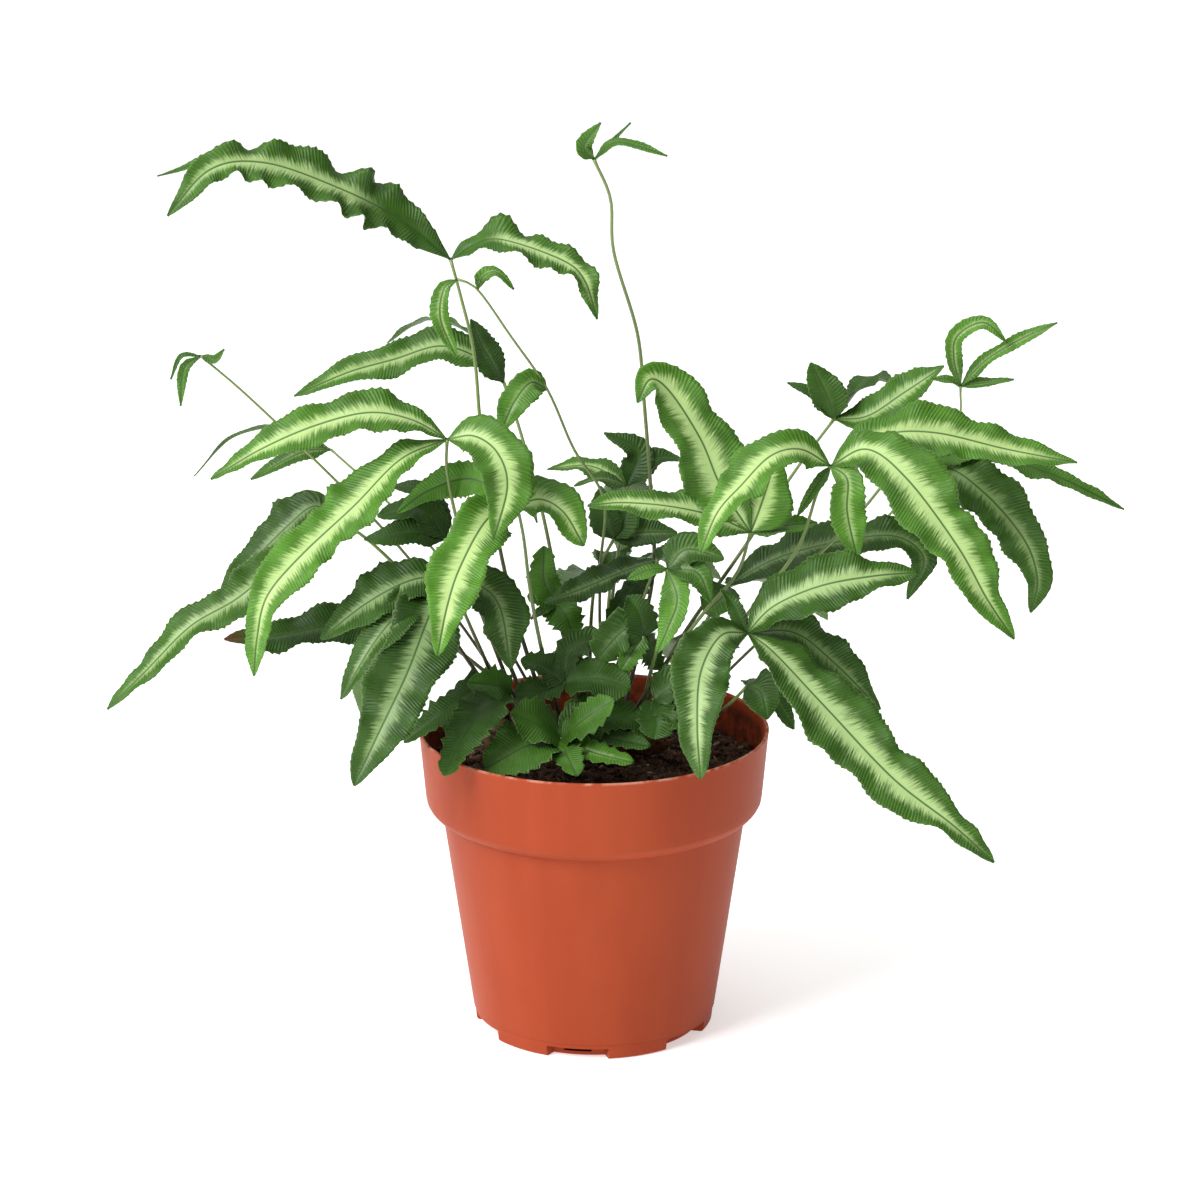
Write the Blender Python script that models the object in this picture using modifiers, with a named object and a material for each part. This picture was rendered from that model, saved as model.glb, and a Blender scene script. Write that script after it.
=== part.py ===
"""A young variegated table fern in a 10.5 cm nursery pot.

The pot is a thin moulded cup with a deep rim band and six drain notches round its foot. It is
filled with peat, a creeping rhizome lies on the peat, and every leaf of the fern, called a frond,
rises from the rhizome on its own wiry stem and ends in a few long leaflets.

The fronds are laid out as on a botanical drawing: seen from the front, a little from above. A
point of a frond is written (right, up, back) in millimetres: where it appears to the right of
and above the centre of the pot's rim in the drawing, and how far behind the pot's axis it lies.
"""

import math

import bmesh
import bpy
from mathutils import Vector

MM = 0.001

# Pot: a moulded cup, outside measures
POT_HEIGHT = 93 * MM
RIM_RADIUS = 52.5 * MM
BAND_HEIGHT = 22 * MM
BAND_TAPER = 2 * MM
SHOULDER_DROP = 4 * MM
SHOULDER_STEP = 4.8 * MM
FOOT_RADIUS = 36 * MM
FOOT_CHAMFER = 0.8 * MM
POT_WALL = 1.2 * MM
POT_STEPS = 60
SHOULDER_KNEE_IN = 0.4
SHOULDER_KNEE_DOWN = 0.55
SEAM = 0.05 * MM
WELD = 0.01 * MM

# Drain notches round the foot, each with a hole through to the peat
NOTCH_COUNT = 6
NOTCH_WIDTH = 18.5 * MM
NOTCH_HEIGHT = 3.5 * MM
NOTCH_DEPTH = 3.2 * MM
NOTCH_TURN = math.radians(-98)
DRAIN_WIDTH = 8 * MM
DRAIN_HEIGHT = 2.2 * MM

# Peat and rhizome
GAP = 0.3 * MM
SOIL_DEPTH = 10 * MM
SOIL_EDGE_DROP = 1.5 * MM
SOIL_FLAT_SHARE = 0.8
RHIZOME_RADIUS = 4 * MM
RHIZOME_LENGTH = 46 * MM
RHIZOME_RINGS = 12
RHIZOME_KNOBS = 5
RHIZOME_SWELL = 0.14
RHIZOME_END = 0.55
RHIZOME_END_SLOPE = 4

# Fronds
STEM_RADIUS = 0.75 * MM
YOUNG_STEM_RADIUS = 0.55 * MM
STEM_TAPER = 0.3
STEM_PAST_JOINT = 1.5
STEM_PATH_STEPS = 2
BLADE_THICKNESS = 0.5 * MM
BLADE_CUP = 0.12
BLADE_FOOT = 1.1 * MM
BLADE_TIP = 0.5 * MM
BLADE_BELLY = 0.8
BLADE_FULLNESS = 0.75
BLADE_FEWEST_STEPS = 3
BLADE_STEP_LENGTHS = (20 * MM, 35 * MM, 60 * MM)
MIDRIB_PATH_STEPS = 12

# The drawing that the fronds are laid out on
DRAWING_TILT = math.radians(17)
DRAWING_DISTANCE = 1300
DRAWING_CENTRE = (1.8, 37.8)
DRAWN_RIM_RADIUS = 52.5

PEAT_BROWN = (0.035, 0.022, 0.015)
TERRACOTTA = (0.52, 0.115, 0.055)
SCALE_BROWN = (0.07, 0.035, 0.018)
OLD_GREEN = (0.035, 0.12, 0.025)
MID_GREEN = (0.06, 0.22, 0.04)
FRESH_GREEN = (0.16, 0.42, 0.06)


def leaf(width, facing, *points, at=-1):
    """A leaflet: its width, where its face looks (degrees round from the front to the right, and
    degrees up), its midrib's points after the start, and the stem point that it starts from."""
    return width, facing, points, at


def frond(name, foot, green, stem, *leaves, radius=STEM_RADIUS):
    """A frond: its foot's place on the rhizome in mm, its stem's points and its leaflets."""
    return name, foot, green, stem, leaves, radius


FRONDS = [
    frond(
        "frond_high_left", (-13, 2), MID_GREEN,
        [(-24, 35, 4), (-31, 68, 8), (-34, 90, 11), (-36, 112, 14), (-40, 129, 16), (-43, 140, 17)],
        leaf(17, (0, 40), (-58, 152, 14), (-78, 162, 8), (-99, 169, 2), (-115, 167, -3), (-128, 153, -8)),
        leaf(12, (20, 50), (-37, 144, 16), (-28, 146, 14), (-10, 140, 10), (-3, 134, 7), (1, 122, 6)),
        leaf(6, (0, 60), (-70, 160, 24), (-105, 171, 22), (-131, 165, 18)),
    ),
    frond(
        "frond_arching_young", (5, 2), FRESH_GREEN,
        [(2, 26, 6), (2, 48, 10), (3, 68, 12), (-6, 83, 10), (-14, 101, 6), (-25, 117, 2),
         (-35, 131, 0), (-41, 134, -1)],
        leaf(5.4, (0, 25), (-45, 131, -3), (-46, 122, -4), (-41, 110, -4)),
        leaf(2.5, (0, 25), (-47, 130, 4), (-48, 120, 4)),
        leaf(4.4, (30, 40), (-33, 135, -2), (-29, 136, -3), (-24, 131, -3), at=6),
        leaf(10, (0, 35), (-19, 103, 2), (-24, 97, -3), (-28, 88, -5), at=4),
        radius=YOUNG_STEM_RADIUS,
    ),
    frond(
        "frond_left_main", (-17, -2), MID_GREEN,
        [(-30, 30, -4), (-40, 58, -8), (-44, 76, -9), (-44, 86, -10)],
        leaf(14, (0, 50), (-55, 92, -12), (-68, 94, -14), (-84, 90, -16), (-100, 83, -19), (-115, 74, -22)),
        leaf(16.5, (-15, 45), (-58, 80, -16), (-72, 66, -24), (-88, 51, -32), (-98, 39, -38),
             (-101, 27, -41), (-102, 15, -43)),
        leaf(17, (15, 40), (-36, 87, -13), (-29, 82, -19), (-26, 72, -25), (-30, 56, -30)),
    ),
    frond(
        "frond_front_centre", (-9, -2), FRESH_GREEN,
        [(-15, 20, -6), (-19, 40, -9), (-21, 56, -12), (-23, 66, -14)],
        leaf(10, (0, 25), (-36, 74, -6), (-49, 71, -2), (-59, 64, -1)),
        leaf(17.5, (0, 30), (-32, 62, -22), (-40, 48, -35), (-44, 36, -45), (-47, 21, -53)),
        leaf(15, (20, 40), (-16, 68, -15), (-9, 64, -18), (-3, 54, -20)),
    ),
    frond(
        "frond_back_left", (-5, 3), MID_GREEN,
        [(-9, 30, 16), (-15, 62, 32), (-22, 88, 44), (-27, 103, 50)],
        leaf(12, (0, 45), (-34, 110, 52), (-46, 114, 54), (-60, 110, 54), (-74, 106, 52), (-90, 99, 48)),
        leaf(9, (180, 70), (-36, 117, 56), (-50, 122, 64), (-62, 115, 70)),
        leaf(9, (0, 50), (-33, 113, 48), (-37, 122, 46)),
    ),
    frond(
        "frond_far_left_young", (-20, 2), FRESH_GREEN,
        [(-36, 25, 10), (-52, 46, 18), (-66, 62, 24), (-86, 82, 28), (-105, 100, 30), (-118, 111, 30)],
        leaf(3, (0, 30), (-123, 107, 28), (-124, 96, 27)),
        leaf(1.6, (0, 30), (-124, 111, 30), (-127, 104, 30)),
        leaf(2.6, (0, 30), (-114, 110, 29), (-111, 113, 28)),
        radius=YOUNG_STEM_RADIUS,
    ),
    frond(
        "frond_left_back", (-13, 5), OLD_GREEN,
        [(-30, 30, 22), (-50, 55, 36), (-68, 73, 46), (-79, 83, 52)],
        leaf(4, (180, 70), (-90, 90, 55), (-108, 87, 56), (-120, 75, 54)),
        leaf(7, (0, 50), (-88, 82, 50), (-103, 74, 46)),
        leaf(10, (180, 65), (-76, 63, 58), (-86, 53, 72), (-95, 42, 82), at=2),
        radius=YOUNG_STEM_RADIUS,
    ),
    frond(
        "frond_far_left_dark", (-24, 0), OLD_GREEN,
        [(-38, 20, 4), (-54, 42, 6), (-68, 56, 6), (-78, 62, 5)],
        leaf(14, (0, 50), (-84, 66, 6), (-92, 60, 4), (-102, 50, 2), (-112, 40, 0)),
        leaf(13, (0, 50), (-90, 53, 0), (-106, 39, -4), (-121, 30, -7), (-134, 17, -9), (-146, 5, -10)),
    ),
    frond(
        "frond_left_low_back", (-17, 4), OLD_GREEN,
        [(-30, 14, 12), (-46, 26, 18), (-60, 31, 19)],
        leaf(13, (0, 45), (-79, 30, 18), (-95, 27, 15), (-111, 26, 12)),
        leaf(13, (180, 60), (-64, 26, 34), (-68, 16, 50), (-70, 4, 62)),
    ),
    frond(
        "frond_left_front", (-24, -4), OLD_GREEN,
        [(-31, 16, -9), (-38, 32, -16), (-43, 44, -21)],
        leaf(15, (0, 45), (-54, 44, -25), (-68, 37, -29), (-82, 26, -32)),
        leaf(12, (-20, 40), (-56, 36, -30), (-66, 25, -37), (-76, 8, -42)),
        leaf(21, (0, 35), (-49, 34, -31), (-56, 16, -42), (-65, -3, -52), (-72, -18, -58)),
        leaf(16, (25, 30), (-34, 42, -25), (-28, 35, -29), (-25, 17, -32)),
    ),
    frond(
        "frond_left_small_dark", (-20, -3), OLD_GREEN,
        [(-30, 24, -4), (-38, 44, -6), (-44, 56, -3)],
        leaf(10, (0, 45), (-54, 58, -1), (-69, 56, 0)),
        leaf(10, (0, 40), (-52, 65, 1), (-65, 63, 3)),
        leaf(7, (0, 60), (-50, 70, 6), (-62, 72, 10)),
    ),
    frond(
        "frond_centre_pale", (9, 0), MID_GREEN,
        [(21, 18, -2), (33, 34, -4), (43, 46, -4), (47, 58, -4)],
        leaf(20, (0, 40), (38, 72, -5), (32, 86, -4), (23, 100, -4), (17, 104, -7), (13, 97, -12)),
        leaf(13, (0, 50), (36, 63, -8), (22, 66, -12), (8, 67, -14), (-2, 66, -14)),
        leaf(17, (20, 35), (50, 66, -2), (53, 76, 2), (52, 82, 5)),
        leaf(7, (0, 55), (57, 60, -1), (67, 61, 2)),
    ),
    frond(
        "frond_right_main", (17, -1), MID_GREEN,
        [(34, 18, -4), (48, 36, -8), (61, 53, -10), (67, 70, -11), (71, 78, -12)],
        leaf(15, (-15, 50), (62, 83, -16), (53, 81, -22), (44, 72, -28), (37, 64, -32), (32, 52, -35)),
        leaf(17, (0, 55), (86, 87, -10), (102, 88, -8), (124, 83, -7), (145, 79, -6)),
        leaf(20, (10, 40), (82, 83, -18), (94, 74, -28), (109, 54, -38), (118, 38, -44), (126, 26, -47)),
        leaf(11, (0, 20), (76, 74, -17), (76, 64, -19), (79, 50, -20)),
        leaf(4, (0, 30), (66, 71, -15), (61, 63, -16)),
    ),
    frond(
        "frond_right_outer", (20, 2), MID_GREEN,
        [(38, 20, 4), (58, 42, 6), (78, 62, 10), (88, 74, 14)],
        leaf(17, (0, 45), (104, 78, 15), (117, 70, 10), (129, 56, 6), (133, 44, 4), (131, 34, 3)),
        leaf(9, (0, 60), (112, 82, 18), (136, 76, 18), (159, 65, 16)),
        leaf(12, (180, 60), (90, 82, 30), (92, 84, 48), (92, 76, 64)),
    ),
    frond(
        "frond_right_back", (12, 4), OLD_GREEN,
        [(26, 26, 20), (44, 52, 34), (60, 76, 42), (72, 92, 44)],
        leaf(11, (-20, 40), (70, 99, 43), (65, 109, 42)),
        leaf(10, (180, 70), (79, 101, 48), (84, 105, 54), (91, 102, 58)),
        leaf(5, (0, 60), (65, 100, 46), (58, 103, 47)),
        leaf(13, (0, 50), (82, 93, 42), (93, 100, 40), (105, 108, 38)),
    ),
    frond(
        "frond_right_top_young", (24, 3), FRESH_GREEN,
        [(46, 22, 20), (74, 48, 32), (98, 74, 36), (109, 90, 34), (110, 102, 32)],
        leaf(5.5, (0, 30), (108, 110, 30), (109, 117, 29), (117, 121, 28), (124, 115, 27)),
        leaf(5, (0, 45), (118, 110, 31), (128, 116, 30), (139, 121, 29)),
        leaf(4, (0, 60), (118, 103, 32), (126, 104, 32)),
        leaf(3, (0, 60), (106, 104, 32), (101, 104, 31)),
        radius=YOUNG_STEM_RADIUS,
    ),
    frond(
        "frond_right_front", (20, -4), OLD_GREEN,
        [(28, 6, -12), (38, 18, -22), (46, 28, -28)],
        leaf(18.5, (0, 50), (54, 36, -30), (68, 42, -30), (84, 45, -28), (97, 46, -26)),
        leaf(16.5, (-10, 30), (38, 27, -36), (32, 16, -47), (31, 0, -56), (32, -16, -60)),
        leaf(20.5, (15, 45), (54, 22, -36), (70, 5, -46), (90, -16, -56), (108, -30, -64), (120, -41, -69)),
        leaf(16, (25, 45), (60, 28, -24), (72, 19, -22), (86, 5, -21)),
        leaf(5, (0, 40), (42, 36, -26), (38, 41, -26)),
    ),
    frond(
        "frond_long_dark", (16, 3), OLD_GREEN,
        [(26, 18, 10), (34, 32, 17), (40, 42, 20)],
        leaf(15, (0, 55), (54, 50, 20), (72, 55, 20), (90, 57, 18), (99, 50, 14), (94, 38, 10)),
        leaf(14, (180, 55), (48, 44, 36), (60, 42, 54), (70, 32, 68)),
        leaf(12, (0, 40), (38, 38, 14), (33, 34, 11)),
    ),
    frond(
        "frond_centre_dark", (2, -3), OLD_GREEN,
        [(7, 18, -4), (14, 36, -2), (19, 50, 2)],
        leaf(10, (0, 50), (8, 46, 0), (-4, 41, -2), (-15, 37, -3)),
        leaf(8, (0, 30), (9, 38, 5), (4, 31, 6)),
        leaf(11, (180, 60), (25, 53, 12), (31, 55, 22), (35, 52, 32)),
    ),
    frond(
        "frond_bright_curl", (13, -3), FRESH_GREEN,
        [(17, 16, -10), (21, 32, -16), (22, 47, -18)],
        leaf(9, (-20, 30), (25, 38, -23), (22, 29, -25), (19, 22, -26)),
        leaf(5, (0, 50), (17, 47, -19), (10, 44, -20)),
        leaf(12, (0, 45), (28, 53, -17), (39, 50, -18)),
        leaf(8, (10, 35), (31, 46, -21), (35, 37, -24)),
    ),
    frond(
        "frond_centre_back", (1, 4), OLD_GREEN,
        [(4, 26, 18), (7, 50, 26), (10, 72, 31)],
        leaf(9, (0, 50), (13, 82, 33), (3, 88, 34)),
        leaf(8, (0, 60), (18, 80, 33), (27, 80, 34)),
        leaf(8, (0, 80), (2, 74, 31), (-6, 72, 31)),
        leaf(9, (0, 65), (-1, 78, 40), (-14, 77, 46)),
        leaf(14, (180, 50), (10, 74, 48), (10, 66, 68), (9, 50, 84)),
    ),
    frond(
        "frond_centre_upright", (-1, 1), OLD_GREEN,
        [(-1, 28, 8), (1, 46, 14), (6, 56, 18)],
        leaf(9, (0, 30), (9, 62, 19), (11, 70, 21)),
        leaf(10, (15, 35), (14, 58, 19), (25, 58, 20)),
        leaf(9, (-15, 30), (3, 64, 19), (2, 72, 20)),
    ),
    frond(
        "frond_tallest", (8, 3), FRESH_GREEN,
        [(14, 26, 15), (18, 48, 24), (17, 72, 28), (15, 98, 28), (13, 118, 26), (6, 142, 23),
         (5, 158, 20), (0, 170, 18)],
        leaf(4.5, (0, 20), (-3, 174, 17), (2, 181, 16)),
        leaf(1.6, (0, 40), (5, 175, 18), (11, 181, 18)),
        leaf(3.6, (0, 50), (6, 175, 14), (13, 174, 12), (22, 171, 10)),
    ),
    frond(
        "frond_centre_bright", (-3, 0), MID_GREEN,
        [(-6, 14, 4), (-9, 26, 8), (-12, 37, 10)],
        leaf(10, (0, 35), (-15, 44, 10), (-15, 54, 11)),
        leaf(8, (-15, 40), (-16, 38, 8), (-20, 39, 7)),
        leaf(11, (0, 40), (-9, 34, 6), (-6, 27, 4)),
        leaf(4, (-15, 50), (-15, 35, 6), (-19, 32, 5)),
    ),
    frond(
        "frond_centre_low", (5, -5), OLD_GREEN,
        [(9, 12, -9), (15, 27, -12)],
        leaf(13, (0, 20), (10, 29, -13), (6, 26, -13), (1, 20, -13)),
        leaf(8, (0, 30), (12, 23, -14), (8, 17, -17)),
        leaf(11, (10, 25), (14, 33, -12), (10, 39, -12)),
        leaf(9, (15, 35), (17, 22, -7), (20, 17, -7)),
    ),
    frond(
        "frond_back_full", (2, 6), OLD_GREEN,
        [(3, 16, 18), (4, 32, 32), (5, 44, 42)],
        leaf(14, (180, 60), (14, 50, 50), (26, 50, 62), (38, 44, 74)),
        leaf(14, (180, 60), (-2, 46, 52), (-8, 42, 63), (-12, 36, 74)),
        leaf(12, (180, 60), (5, 52, 56), (6, 50, 69), (7, 43, 80)),
    ),
    frond(
        "frond_low_left", (-17, -5), OLD_GREEN,
        [(-20, 2, -11), (-25, 9, -15)],
        leaf(11, (-20, 55), (-35, 11, -16), (-45, 4, -18), (-57, -5, -20)),
        leaf(13, (-10, 50), (-32, 6, -26), (-39, -3, -36), (-45, -15, -45)),
        leaf(11, (0, 50), (-29, 12, -17), (-38, 13, -17)),
    ),
    frond(
        "frond_low_front", (-5, -5), MID_GREEN,
        [(-7, 0, -14), (-10, -4, -22)],
        leaf(17, (0, 55), (-20, -6, -29), (-33, -13, -34)),
        leaf(11, (0, 50), (-3, 2, -27), (6, 8, -28)),
        leaf(9, (0, 60), (-8, -9, -32), (-5, -15, -40)),
        leaf(15, (0, 55), (-16, 0, -25), (-25, 4, -27)),
        leaf(9, (10, 60), (0, -8, -30), (12, -11, -33)),
        leaf(14, (5, 50), (-2, 2, -20), (8, 3, -18), (20, -2, -20)),
        leaf(9, (5, 60), (-2, -3, -23), (7, -4, -24), (17, -6, -26)),
    ),
    frond(
        "frond_low_centre", (-1, -5), OLD_GREEN,
        [(-4, 5, -11), (-9, 13, -14)],
        leaf(15, (0, 50), (-4, 14, -16), (3, 14, -17), (11, 11, -18)),
        leaf(9, (0, 45), (-8, 22, -9), (-2, 26, -6), (5, 25, -5)),
        leaf(9, (-15, 50), (-16, 18, -12), (-22, 20, -11)),
        leaf(10, (-20, 50), (-16, 11, -15), (-24, 10, -14)),
    ),
    frond(
        "frond_low_right", (9, -5), OLD_GREEN,
        [(14, 2, -11), (18, 8, -14)],
        leaf(12, (0, 50), (24, 13, -14), (29, 9, -16)),
        leaf(12, (0, 55), (19, 3, -20), (18, -4, -26)),
        leaf(9, (10, 60), (23, 4, -19), (28, -1, -24)),
    ),
    frond(
        "frond_small_right", (24, -2), OLD_GREEN,
        [(33, 2, -2), (40, 6, -4), (46, 12, -6)],
        leaf(12, (0, 45), (50, 10, -12), (52, 2, -18)),
        leaf(9, (20, 50), (54, 8, -4), (60, -1, -6)),
        leaf(9, (180, 60), (50, 14, 6), (54, 12, 16)),
    ),
    frond(
        "frond_centre_low_back", (5, 5), OLD_GREEN,
        [(8, 14, 18), (13, 24, 26)],
        leaf(13, (180, 60), (18, 26, 40), (24, 23, 56), (30, 12, 72)),
        leaf(13, (180, 60), (6, 26, 40), (-6, 23, 56), (-16, 12, 72)),
    ),
]


def clear_scene():
    """Removes what the file opened with."""
    for thing in list(bpy.data.objects):
        bpy.data.objects.remove(thing, do_unlink=True)


def new_collection(name):
    """A collection of this name under the scene's own."""
    collection = bpy.data.collections.new(name)
    bpy.context.scene.collection.children.link(collection)
    return collection


def plain_material(name, color, roughness):
    """A Principled material with one colour."""
    material = bpy.data.materials.new(name)
    material.use_nodes = True
    shader = material.node_tree.nodes["Principled BSDF"]
    shader.inputs["Base Color"].default_value = (*color, 1)
    shader.inputs["Roughness"].default_value = roughness
    shader.inputs["Metallic"].default_value = 0
    return material


def add_object(name, mesh, collection):
    """An object with this mesh, linked to a collection."""
    thing = bpy.data.objects.new(name, mesh)
    collection.objects.link(thing)
    return thing


def as_mesh_object(thing, name, collection):
    """Turns an object into a plain mesh object as its modifiers leave it, with caps welded."""
    depsgraph = bpy.context.evaluated_depsgraph_get()
    mesh = bpy.data.meshes.new_from_object(thing.evaluated_get(depsgraph))
    solid = bmesh.new()
    solid.from_mesh(mesh)
    bmesh.ops.remove_doubles(solid, verts=solid.verts, dist=WELD)
    solid.to_mesh(mesh)
    solid.free()
    made = add_object(name, mesh, collection)
    made.matrix_world = thing.matrix_world
    bpy.data.objects.remove(thing, do_unlink=True)
    made.name = name
    return made


def turned(name, profile, collection):
    """A profile of (radius, height) points turned once round the Z axis."""
    mesh = bpy.data.meshes.new(name)
    points = [(radius, 0, height) for radius, height in profile]
    mesh.from_pydata(points, [(i, i + 1) for i in range(len(points) - 1)], [])
    thing = add_object(name, mesh, collection)
    screw = thing.modifiers.new("Turn", "SCREW")
    screw.steps = POT_STEPS
    screw.render_steps = POT_STEPS
    screw.use_merge_vertices = True
    screw.merge_threshold = SEAM
    return thing


def block(name, size, centre, turn, collection):
    """A box cutter: size and centre before it is turned about the Z axis."""
    mesh = bpy.data.meshes.new(name)
    solid = bmesh.new()
    bmesh.ops.create_cube(solid, size=1)
    bmesh.ops.scale(solid, vec=size, verts=solid.verts)
    bmesh.ops.translate(solid, vec=centre, verts=solid.verts)
    solid.to_mesh(mesh)
    solid.free()
    thing = add_object(name, mesh, collection)
    thing.rotation_euler.z = turn
    thing.hide_render = True
    thing.display_type = "WIRE"
    return thing


def combine(thing, other, operation, solver="EXACT"):
    """Adds, or takes away, another solid."""
    boolean = thing.modifiers.new(operation.title(), "BOOLEAN")
    boolean.operation = operation
    boolean.solver = solver
    boolean.object = other


def outer_radius(height):
    """The pot's outside radius at a height below the shoulder: a straight taper."""
    wall_top = POT_HEIGHT - BAND_HEIGHT - SHOULDER_DROP
    share = height / wall_top
    return FOOT_RADIUS + (wall_top_radius() - FOOT_RADIUS) * share


def wall_top_radius():
    """The outside radius just under the band's shoulder."""
    return RIM_RADIUS - BAND_TAPER - SHOULDER_STEP


def inner_radius(height):
    """The pot's inside radius at a height below the shoulder."""
    return outer_radius(height) - POT_WALL


def pot_profile():
    """Inside of the floor, up the inside, over the rim, down the outside and under the foot."""
    band_bottom = POT_HEIGHT - BAND_HEIGHT
    wall_top = band_bottom - SHOULDER_DROP
    lip = POT_WALL / 2
    return [
        (0, POT_WALL),
        (inner_radius(POT_WALL), POT_WALL),
        (inner_radius(wall_top), wall_top),
        (RIM_RADIUS - BAND_TAPER - POT_WALL, band_bottom),
        (RIM_RADIUS - POT_WALL, POT_HEIGHT - lip),
        (RIM_RADIUS - lip, POT_HEIGHT),
        (RIM_RADIUS, POT_HEIGHT - lip),
        (RIM_RADIUS - BAND_TAPER, band_bottom),
        (
            RIM_RADIUS - BAND_TAPER - SHOULDER_KNEE_IN * SHOULDER_STEP,
            band_bottom - SHOULDER_KNEE_DOWN * SHOULDER_DROP,
        ),
        (wall_top_radius(), wall_top),
        (outer_radius(FOOT_CHAMFER), FOOT_CHAMFER),
        (FOOT_RADIUS - FOOT_CHAMFER, 0),
        (0, 0),
    ]


def notch_turns():
    """The angles of the drain notches round the foot."""
    return [NOTCH_TURN + i * math.tau / NOTCH_COUNT for i in range(NOTCH_COUNT)]


def notch_block(name, grow, turn, cutters):
    """The space of a drain notch, grown sideways, inwards and upwards."""
    inner = FOOT_RADIUS - NOTCH_DEPTH - grow
    outer = outer_radius(NOTCH_HEIGHT) + POT_WALL
    size = (outer - inner, NOTCH_WIDTH + 2 * grow, 2 * (NOTCH_HEIGHT + grow))
    return block(name, size, ((outer + inner) / 2, 0, 0), turn, cutters)


def make_pot(parts, cutters):
    """The moulded pot: the turned cup, a pocket of wall behind each notch, notches and drains."""
    pot = turned("pot", pot_profile(), parts)
    mid_wall = POT_WALL / 2
    top = 2 * NOTCH_HEIGHT + POT_WALL
    profile = [
        (0, top),
        (outer_radius(top) - mid_wall, top),
        (FOOT_RADIUS - mid_wall, mid_wall),
        (0, mid_wall),
    ]
    reach = turned("pocket_reach", profile, cutters)
    reach.hide_render = True
    reach.display_type = "WIRE"
    for i, turn in enumerate(notch_turns()):
        pocket = notch_block(f"pocket_{i + 1}", POT_WALL, turn, cutters)
        combine(pocket, reach, "INTERSECT")
        combine(pot, pocket, "UNION")
    for i, turn in enumerate(notch_turns()):
        combine(pot, notch_block(f"notch_{i + 1}", 0, turn, cutters), "DIFFERENCE")
        size = (3 * NOTCH_DEPTH, DRAIN_WIDTH, DRAIN_HEIGHT)
        centre = (FOOT_RADIUS - 2 * NOTCH_DEPTH, 0, (POT_WALL + NOTCH_HEIGHT) / 2 + POT_WALL / 2)
        combine(pot, block(f"drain_{i + 1}", size, centre, turn, cutters), "DIFFERENCE")
    pot.data.materials.append(plain_material("terracotta_plastic", TERRACOTTA, 0.45))
    return pot


def soil_top():
    """The height of the peat's surface."""
    return POT_HEIGHT - SOIL_DEPTH


def make_soil(parts, cutters):
    """The peat: it fills the pot, clear of its wall and of the pockets behind the notches."""
    band_bottom = POT_HEIGHT - BAND_HEIGHT
    wall_top = band_bottom - SHOULDER_DROP
    floor = POT_WALL + GAP
    share = (soil_top() - SOIL_EDGE_DROP - band_bottom) / BAND_HEIGHT
    edge = RIM_RADIUS - BAND_TAPER * (1 - share) - POT_WALL - 2 * GAP
    profile = [
        (0, soil_top()),
        (SOIL_FLAT_SHARE * edge, soil_top()),
        (edge, soil_top() - SOIL_EDGE_DROP),
        (RIM_RADIUS - BAND_TAPER - POT_WALL - 2 * GAP, band_bottom),
        (inner_radius(wall_top) - 2 * GAP, wall_top),
        (inner_radius(floor) - 2 * GAP, floor),
        (0, floor),
    ]
    soil = turned("soil", profile, parts)
    for i, turn in enumerate(notch_turns()):
        pocket = notch_block(f"soil_pocket_{i + 1}", POT_WALL + GAP, turn, cutters)
        combine(soil, pocket, "DIFFERENCE")
    soil.data.materials.append(plain_material("peat", PEAT_BROWN, 0.95))
    return soil


def tube(name, points, radii, collection):
    """A round solid along points, with a radius at each, as a curve with filled caps."""
    curve = bpy.data.curves.new(name, "CURVE")
    curve.dimensions = "3D"
    curve.bevel_depth = 1
    curve.bevel_resolution = 2
    curve.use_fill_caps = True
    spline = curve.splines.new("POLY")
    spline.points.add(len(points) - 1)
    for point, place_of_point, radius in zip(spline.points, points, radii):
        point.co = (*place_of_point, 1)
        point.radius = radius
    thing = bpy.data.objects.new(name, curve)
    collection.objects.link(thing)
    return as_mesh_object(thing, name, collection)


def rhizome_top():
    """The height of the top of the rhizome's body."""
    return soil_top() + GAP + 2 * RHIZOME_RADIUS


def make_rhizome(parts):
    """The creeping rootstock: a knobbly bar lying on the peat, thinner towards its ends."""
    points, radii = [], []
    for i in range(RHIZOME_RINGS + 1):
        t = i / RHIZOME_RINGS
        swell = 1 - RHIZOME_SWELL + RHIZOME_SWELL * math.cos(RHIZOME_KNOBS * math.tau * t)
        ends = min(1, RHIZOME_END + RHIZOME_END_SLOPE * min(t, 1 - t))
        radius = RHIZOME_RADIUS * swell * ends
        height = rhizome_top() - RHIZOME_RADIUS
        points.append(((t - 0.5) * RHIZOME_LENGTH, 0, height))
        radii.append(radius)
    rhizome = tube("rhizome", points, radii, parts)
    rhizome.data.materials.append(plain_material("rhizome_scales", SCALE_BROWN, 0.9))
    return rhizome


def drawing_scale():
    """Metres for each millimetre of the drawing: the fern is drawn for a rim of its own size."""
    return RIM_RADIUS / DRAWN_RIM_RADIUS


def place(right, up, back):
    """The point that the drawing shows at (right, up) and that lies back behind the pot's axis.

    The drawing stands tilted through the rim's centre and is seen from an eye on its own axis,
    so the point is where the sight line through (right, up) reaches the plane Y = back. The
    whole drawing grows with the rim.
    """
    side = Vector((1, 0, 0))
    upward = Vector((0, math.sin(DRAWING_TILT), math.cos(DRAWING_TILT)))
    away = Vector((0, math.cos(DRAWING_TILT), -math.sin(DRAWING_TILT)))
    eye = DRAWING_CENTRE[0] * side + DRAWING_CENTRE[1] * upward - DRAWING_DISTANCE * away
    sight = right * side + up * upward - eye
    point = eye + sight * ((back - eye.y) / sight.y)
    return point * drawing_scale() + Vector((0, 0, POT_HEIGHT))


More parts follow.
